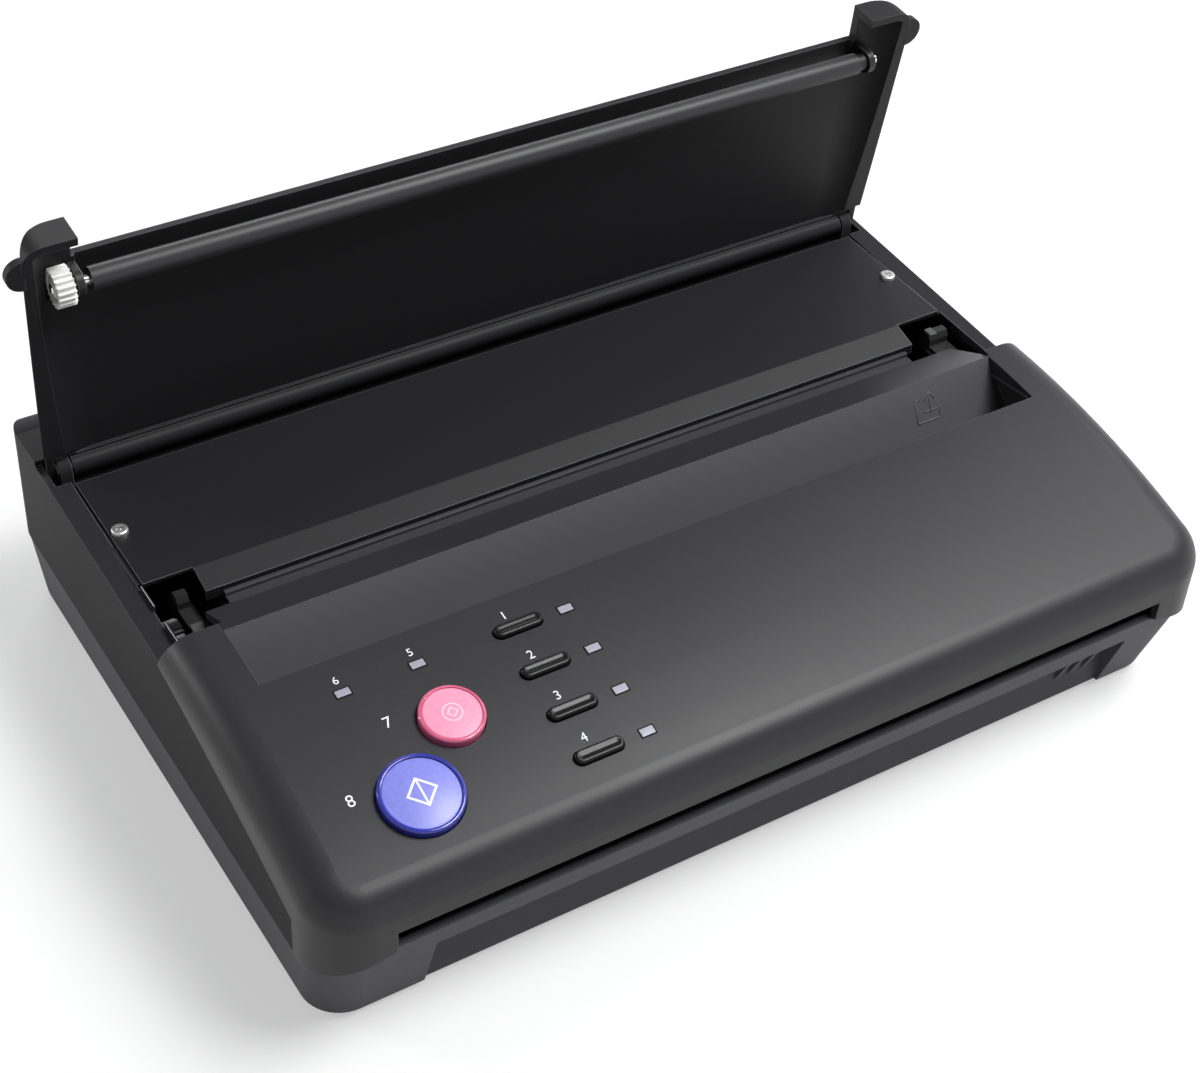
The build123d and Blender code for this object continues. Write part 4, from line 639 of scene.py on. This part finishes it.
for number, (y, stem_end) in enumerate(zip(PILL_YS, STEM_ENDS), 1):
    stem = turned_sheet([(AXIS, stem_end), (STEM_RADIUS, stem_end), (STEM_RADIUS, STEM_TOP),
                         (AXIS, STEM_TOP)], 24)
    sheets = [(on_crown(sheet, PILL_X, y), True) for sheet in (pill_top, pill_flange, stem)]
    key = piece("mode_key_cap_%d" % number, sheets, key_black, "mode_key_%d" % number,
                ["mode_button_%d" % number])
    print("mode key", number, len(key.data.polygons), "faces")

# %% [markdown]
# ## Light windows
# Beside every key a light pipe ends flush with the cover: a frosted window of 4.2 by 2.5 mm in a
# thin near-black band, painted shade for the shadow gap of the opening it sits in. The band is
# closed, follows the crown, and is made like the printed marks.

# %% Painted shade round the frosted windows
# Frosted acrylic glows evenly; the gap round it is a matt black band of painted shade.
frosted = moulded("acrylic_frosted_window", "#a19fae", 0.38, grain=0.5, depth=0.004)
gap_painted_shade = moulded("gap_shadow_black", "#0b0b0c", 0.7, grain=0.4, depth=0.004, level=0.2)
WINDOWS = [(-42.3, y) for y in PILL_YS] + [(-85.4, -47.7), (-106.3, -47.8)]
WINDOW_X, WINDOW_Y = 2.1, 1.25              # mm, half of a window
LENS_X, LENS_Y = 1.98, 1.13                 # mm, half of the lens inside its shadow gap
GAP, GAP_Z, LENS_Z, LENS_RISE = 0.34, 0.16, 0.15, 0.05      # mm wide, and mm over the cover


def over_cover(u, v):
    """A level surface, GAP_Z over the cover."""
    return np.zeros_like(u) + GAP_Z


opening = np.array([(-WINDOW_X, -WINDOW_Y), (WINDOW_X, -WINDOW_Y),
                    (WINDOW_X, WINDOW_Y), (-WINDOW_X, WINDOW_Y)])
gap_rows, gap_wrap = printed_band(split_path(opening, True), GAP, True, over_cover, 0.02)
u, v = np.meshgrid(np.linspace(-LENS_X, LENS_X, 12), np.linspace(-LENS_Y, LENS_Y, 8))
rise = LENS_RISE * (1 - (u / LENS_X) ** 4) * (1 - (v / LENS_Y) ** 4)
lens = np.stack([u, v, LENS_Z + rise], -1)
# The near-black bands are painted shade for the gaps round the windows.
piece("window_gap_painted_shade", [(on_crown(gap_rows, x, y), gap_wrap) for x, y in WINDOWS],
      gap_painted_shade, "housing", sharp=80)
piece("window_lenses", [(on_crown(lens, x, y), False) for x, y in WINDOWS],
      frosted, "housing", sharp=60)
print("windows:", len(WINDOWS))

# %% [markdown]
# ## Plain numbers
# Each key and lamp has a plain printed number, which says no more than which is which. The outlines
# come from Blender's own font, filled with triangles and then bent onto the crown. Drawing digits
# by hand would also do, but a font's curves are cleaner.

# %% Numbers on the crown
CAP_HEIGHT = 0.7            # height of a digit as a share of the font's size


def printed_number(text, x, y, height):
    """A number height mm tall as a film of ink, its middle at (x, y), bent to
    z = CROWN_Z - R (1 - cos a) + INK with a = asin((CROWN_Y - y) / R)."""
    curve = bpy.data.curves.new("number_" + text, "FONT")
    curve.body, curve.size, curve.resolution_u = text, height / CAP_HEIGHT, 4
    curve.align_x, curve.align_y = "CENTER", "CENTER"
    holder = bpy.data.objects.new("number_" + text, curve)
    mesh = bpy.data.meshes.new_from_object(holder)
    bpy.data.objects.remove(holder)
    points = np.empty(len(mesh.vertices) * 3)
    mesh.vertices.foreach_get("co", points)
    u, v, _ = points.reshape(-1, 3).T
    lean = np.arcsin((CROWN_Y - (y + v)) / CROWN_RADIUS)
    bent = np.stack([x + u, y + v, CROWN_Z - CROWN_RADIUS * (1 - np.cos(lean)) + INK], -1) * MM
    mesh.vertices.foreach_set("co", bent.ravel())
    return finish_piece("number_" + text, mesh, ink_white, "housing", merge=0.0005)


MODE_X, MODE_HEIGHT, LAMP_HEIGHT, ROUND_HEIGHT = -58.0, 2.6, 2.4, 3.2
NUMBERS = [("1", MODE_X, -43.2, MODE_HEIGHT), ("2", MODE_X, -57.2, MODE_HEIGHT),
           ("3", MODE_X, -70.7, MODE_HEIGHT), ("4", MODE_X, -83.8, MODE_HEIGHT),
           ("5", -85.4, -43.6, LAMP_HEIGHT), ("6", -106.3, -43.7, LAMP_HEIGHT),
           ("7", -100.5, -60.5, ROUND_HEIGHT), ("8", -118.8, -76.5, ROUND_HEIGHT)]
for number in NUMBERS:
    printed_number(*number)
print("numbers printed:", len(NUMBERS))

# %% [markdown]
# ## The platen's gear and its partner
# The white gear on the end of the platen meets a black one in the housing when the lid is shut.
# Real teeth are involutes: the curve that a taut thread's end draws as it unwinds from the base
# circle. A tooth with straight flanks is good enough for collision; here the flank is worked out,
# and the face gets its recess, rim and hub as a moulding tool would give them.

# %% Involute teeth
GEAR_MODULE, PRESSURE_ANGLE = 0.5, math.radians(20)
GEAR_LEFT, GEAR_RIGHT = -132.0, -127.0


def involute(a):
    """inv(a) = tan a - a, the angle that the unwinding thread has turned past the tooth's root."""
    return np.tan(a) - a


def tooth_outline(teeth, module, phase, addendum=0.92, dedendum=1.2, backlash=0.22, steps=5):
    """Polar outline. Half a tooth's angle at radius r is s / (2 rp) + inv(20 deg) -
    inv(acos(rb / r)), s being the tooth's width at the pitch radius rp, and rb the base radius."""
    pitch = module * teeth / 2
    base = pitch * math.cos(PRESSURE_ANGLE)
    tip, root = pitch + addendum * module, pitch - dedendum * module
    r = np.linspace(max(base, root), tip, steps)
    half = ((math.pi * module / 2 - backlash) / 2 / pitch + involute(PRESSURE_ANGLE)
            - involute(np.arccos(np.clip(base / r, -1, 1))))
    r = np.concatenate([[root], r, [tip]])
    half = np.concatenate([[half[0] * 1.25], half, [half[-1] * 0.4]])
    angle = np.concatenate([-half, half[::-1]])
    radius = np.concatenate([r, r[::-1]])
    middle = np.radians(phase) + 2 * np.pi * np.arange(teeth) / teeth
    return (middle[:, None] + angle).ravel(), np.tile(radius, teeth)


def gear_piece(name, centre, teeth, phase, bore, body, node, material):
    """Rings in step with the teeth: bore, hub, recess, rim, chamfered teeth, and the same back."""
    angle, outline = tooth_outline(teeth, GEAR_MODULE, phase)
    rim = outline.min() - 0.55          # mm of rim below the teeth
    hub = min(2.4, rim - 1.2)           # mm of hub, with a recess of at least 1.2 mm round it
    deep, soft, chamfer = 0.9, 0.1, 0.15

    def ring(radius, x):
        """Points (x, centre + radius (cos angle, sin angle)), one for each point of the teeth."""
        radius = np.broadcast_to(radius, angle.shape)
        return np.stack([np.full(angle.shape, x), centre[0] + radius * np.cos(angle),
                         centre[1] + radius * np.sin(angle)], -1)

    face = [(bore, 0), (hub - soft, 0), (hub, soft), (hub + 0.08, deep), (rim - soft, deep),
            (rim, soft), (rim + soft, 0), (outline - 0.12, 0), (outline, chamfer)]
    rows = [ring(radius, GEAR_LEFT + inset) for radius, inset in face]
    rows += [ring(radius, GEAR_RIGHT - inset) for radius, inset in face[::-1]]
    rows += [ring(bore, GEAR_LEFT)]
    gear = piece(name, [(np.stack(rows), True)], material, body, [node], sharp=28)
    print(name, teeth, "teeth,", len(gear.data.polygons), "faces")


spin = {joint["name"]: [v / MM for v in joint["pos_m"]]
        for joint in frame["joints"] if "pos_m" in joint}
gear_piece("platen_gear_moulded", spin["platen_spin"][1:], 20, 1.875 - 84.5, 1.45,
           "platen", "platen_gear", acetal)
gear_piece("drive_gear_moulded", spin["platen_drive_spin"][1:], 24, 215.937, 1.55,
           "platen_drive", "drive_gear", inner_gear)

# %% [markdown]
# ## Small things round the feed path
# An arrow on a sheet is moulded on the chute's floor to say which way up the paper goes; it is a
# plain sign. The chute's right end wall has two stiffening ribs. In the pocket beside the head a
# spring clip rests on the bearing block, and steel strips line the rails, the left one in two
# lengths with room between them for the platen's shaft. All are lofts: outlines strung along a path
# and closed at both ends, the way that one would draw any bar or rib.

# %% Lofts for bars and ribs
def loft_sheet(sections):
    """Outlines along a path; each end closes on its own middle."""
    sections = np.asarray(sections, float)
    ends = sections[[0, -1]].mean(1, keepdims=True) + sections[[0, -1]] * 0
    return np.concatenate([ends[:1], sections, ends[1:]]), True


def bar(start, end, width, height, side, up, soft=0.15):
    """Straight bar between two points, its section a rectangle with its corners cut by soft."""
    start, end, side, up = (np.asarray(v, float) for v in (start, end, side, up))
    a, b = width / 2, height / 2
    corners = [(a, b - soft), (a - soft, b), (soft - a, b), (-a, b - soft),
               (-a, soft - b), (soft - a, -b), (a - soft, -b), (a, soft - b)]
    section = np.array([side * u + up * w for u, w in corners])
    along = (end - start) / np.linalg.norm(end - start)
    return loft_sheet([start + section * 0.8, start + along * soft + section,
                       end - along * soft + section, end + section * 0.8])


ACROSS, UP = np.array([1.0, 0, 0]), (0, 0, 1)
print("a bar has", len(sheet_faces(6, 8, True)), "quads")

# %% The sign on the chute's floor
SLOPE = math.radians(62)
RIDGE = np.array([0, -15.8, 66.04])
down_slope = np.array([0, -math.cos(SLOPE), -math.sin(SLOPE)])
out_of_slope = np.array([0, -math.sin(SLOPE), math.cos(SLOPE)])


def on_slope(u, s, out):
    """Point of the chute's floor, s mm down from the ridge and out mm off the surface."""
    return RIDGE + np.array([u, 0, 0]) + down_slope * s + out_of_slope * out


# Strokes as ((u, s), (u, s)): a bracket for the sheet, then an arrow's bar, shaft and two barbs.
SIGN = [((94.6, 12.5), (94.6, 5.5)), ((94.6, 12.5), (103.0, 12.5)), ((103.0, 12.5), (103.0, 9.0)),
        ((94.6, 5.5), (96.4, 5.5)), ((97.4, 9.6), (102.2, 9.6)), ((99.8, 9.6), (99.8, 4.2)),
        ((99.8, 4.0), (97.8, 6.4)), ((99.8, 4.0), (101.8, 6.4))]
STROKE_WIDTH, STROKE_HEIGHT, STROKE_OUT, STROKE_SOFT = 0.5, 0.3, 0.02, 0.08     # mm
strokes = []
for start, end in SIGN:
    a, b = on_slope(*start, STROKE_OUT), on_slope(*end, STROKE_OUT)
    run = (b - a) / np.linalg.norm(b - a)
    strokes.append(bar(a, b, STROKE_WIDTH, STROKE_HEIGHT, np.cross(out_of_slope, run),
                       out_of_slope, STROKE_SOFT))
piece("sheet_sign", strokes, cover_abs, "housing")
print("strokes in the sign:", len(strokes))

# %% Ribs, spring clip and rail strips
END_WALL = 123.42           # x in mm of the chute's right end wall
ribs = [bar((END_WALL, -18.9, 61.2), (END_WALL, -35.2, 63.4), 0.9, 0.5, (0, -0.13, 0.99),
            ACROSS, 0.1),
        bar((END_WALL, -22.2, 59.4), (END_WALL, -29.0, 54.4), 0.6, 0.4, (0, 0.59, 0.8),
            ACROSS, 0.1)]
piece("chute_end_ribs", ribs, cover_abs, "housing")

CLIP_LEFT, CLIP_RIGHT = 122.9, 125.3
CLIP_PATH = ((9.6, 57.42), (12.6, 57.42), (14.2, 55.1), (15.4, 53.4))
THICK_Y, THICK_Z = 0.22, 0.27           # mm of spring steel, along and up
clip = [np.array([(CLIP_LEFT, y, z), (CLIP_RIGHT, y, z),
                  (CLIP_RIGHT, y + THICK_Y, z + THICK_Z), (CLIP_LEFT, y + THICK_Y, z + THICK_Z)])
        for y, z in CLIP_PATH]
piece("latch_spring", [loft_sheet(clip)], turned, "housing")

STRIP_X, STRIP_THICK, STRIP_HEIGHT = 132.3, 0.5, 2.6
REAR_END, FRONT_END = (17.5, 57.2), (-7.0, 57.0)        # (y, z) in mm
SHAFT_REAR, SHAFT_FRONT = (8.6, 57.1), (1.8, 57.1)      # behind and in front of the platen's shaft
strips = [bar((x, *start), (x, *end), STRIP_THICK, STRIP_HEIGHT, ACROSS, UP, 0.12)
          for x, start, end in ((STRIP_X, REAR_END, FRONT_END), (-STRIP_X, REAR_END, SHAFT_REAR),
                                (-STRIP_X, SHAFT_FRONT, FRONT_END))]
piece("rail_strips", strips, plate_edge, "housing")
print("ribs, clip and strips made")

# %% [markdown]
# ## Contact blades of the mains inlet
# The inlet's three flat pins are nickel-plated brass. Sleeves a few hundredths of a millimetre
# larger than the solid's own pins give them their metal; their tips are rounded as plugs need.

# %% Inlet blades
# Nickel plate is a warm, even mirror, duller than chromium.
nickel = worked_metal("brass_nickel_plated", "#cfcabd", 0.22, grain=1.0, depth=0.002)
INLET_X, INLET_Z = 96.0, 38.0
BLADE_WIDTH, BLADE_HEIGHT, BLADE_FOOT, BLADE_TIP = 3.9, 2.08, 17.0, 6.9
mouth_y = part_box("power_inlet")[1][1] / MM - 1.0
blades = [bar((INLET_X + dx, mouth_y - BLADE_FOOT, INLET_Z + dz),
              (INLET_X + dx, mouth_y - BLADE_TIP, INLET_Z + dz),
              BLADE_WIDTH, BLADE_HEIGHT, ACROSS, UP, 0.3)
          for dx, dz in ((-6.5, -1.5), (6.5, -1.5), (0, 3.0))]
piece("inlet_blades", blades, nickel, "housing")
print("inlet mouth at y =", round(mouth_y, 1))

# %% [markdown]
# ## Floor, light and the end
# The machine stands on a pale sweep. One wide lamp hangs above it, weaker ones stand low behind it
# and high on the right, and a narrow one draws the rounded edges on the left. The floor is lifted
# towards white for the camera and for reflections only, more so far away, and so is the band of the
# world just over its far edge. The lamps can then stay at the level at which a colour renders about
# as it is written, and the machine keeps its shadow.

# %% The sweep
def seen_directly(tree):
    """1 on rays that come straight from the camera, or by a reflection or through glass, else 0:
    the largest of the three Light Path outputs."""
    rays = add(tree, "ShaderNodeLightPath").outputs
    seen = add(tree, "ShaderNodeMath", {0: rays["Is Camera Ray"], 1: rays["Is Glossy Ray"]},
               operation="MAXIMUM")
    seen = add(tree, "ShaderNodeMath", {0: seen.outputs[0], 1: rays["Is Transmission Ray"]},
               operation="MAXIMUM")
    return seen.outputs[0]


FLOOR_REACH = 6.0                       # m to each side
NEAR, FAR = 0.5, 2.5                    # m from the machine
LIFT_NEAR, LIFT_FAR = 0.45, 0.92
r = FLOOR_REACH
floor_mesh = bpy.data.meshes.new("floor")
floor_mesh.from_pydata([(-r, -r, 0), (r, -r, 0), (r, r, 0), (-r, r, 0)], [], [(0, 1, 2, 3)])
floor = bpy.data.objects.new("floor", floor_mesh)
bpy.context.scene.collection.objects.link(floor)
# Matt paper: no highlight at all, only the machine's soft shadow.
floor_material, floor_tree, floor_shader, floor_place = new_material("paper_sweep_white")
floor_shader.inputs["Base Color"].default_value = linear("#bebebe")
floor_shader.inputs["Roughness"].default_value = 0.9
distance = add(floor_tree, "ShaderNodeVectorMath", {0: floor_place}, operation="LENGTH")
far = add(floor_tree, "ShaderNodeMapRange", {"Value": distance.outputs["Value"],
                                             "From Min": NEAR, "From Max": FAR,
                                             "To Min": LIFT_NEAR, "To Max": LIFT_FAR})
lift = add(floor_tree, "ShaderNodeMath", {0: seen_directly(floor_tree), 1: far.outputs[0]},
           operation="MULTIPLY")
floor_shader.inputs["Emission Color"].default_value = (1, 1, 1, 1)
floor_tree.links.new(lift.outputs[0], floor_shader.inputs["Emission Strength"])
floor_mesh.materials.append(floor_material)
print("floor of", 2 * FLOOR_REACH, "m")

# %% World
GLOW_LOW, GLOW_HIGH = 0.12, 0.26        # strength near the horizon, and straight above
BAND_TOP, BAND_END = 0.28, 0.38         # height of direction up to which all is white, and none
world = bpy.data.worlds.new("studio")
bpy.context.scene.world = world
world.use_nodes = True
sky = world.node_tree
sky.nodes.clear()
direction = add(sky, "ShaderNodeTexCoord").outputs["Generated"]
height = add(sky, "ShaderNodeSeparateXYZ", {0: direction}).outputs["Z"]
glow = add(sky, "ShaderNodeMapRange", {"Value": height, "From Min": 0.1, "From Max": 1.0,
                                       "To Min": GLOW_LOW, "To Max": GLOW_HIGH})
band = add(sky, "ShaderNodeMapRange", {"Value": height, "From Min": BAND_TOP,
                                       "From Max": BAND_END, "To Min": 1.0, "To Max": 0.0})
share = add(sky, "ShaderNodeMath", {0: seen_directly(sky), 1: band.outputs[0]},
            operation="MULTIPLY")
strength = add(sky, "ShaderNodeMix", {"Factor": share.outputs[0], "A": glow.outputs[0], "B": 1.0})
soft = add(sky, "ShaderNodeBackground", {"Color": (0.97, 0.98, 1, 1),
                                         "Strength": strength.outputs[0]})
add(sky, "ShaderNodeOutputWorld", {"Surface": soft.outputs[0]})
print("world:", world.name)


# %% Lamps
def lamp(name, place, aim, width, height, power):
    """Area lamp of width by height metres at a place, turned to face aim."""
    data = bpy.data.lights.new(name, "AREA")
    data.shape, data.size, data.size_y, data.energy = "RECTANGLE", width, height, power
    obj = bpy.data.objects.new(name, data)
    bpy.context.scene.collection.objects.link(obj)
    obj.location = place
    obj.rotation_euler = (Vector(aim) - Vector(place)).to_track_quat("-Z", "Y").to_euler()
    return obj


MACHINE = (0, 0, 0.05)                  # m, about the middle of the machine
lamps = [lamp("key_above", (0.60, -0.40, 1.40), MACHINE, 0.8, 0.6, 25),
         lamp("low_back", (0.40, 1.45, 0.80), MACHINE, 0.8, 0.4, 9),
         lamp("high_right", (1.15, 0.25, 1.00), MACHINE, 0.6, 0.6, 3.5),
         lamp("back_left", (-1.05, 0.95, 0.50), (0, 0, 0.06), 0.12, 0.35, 3.5)]
bpy.context.scene.view_settings.view_transform = "Standard"
print("lamps:", {obj.name: obj.data.energy for obj in lamps})
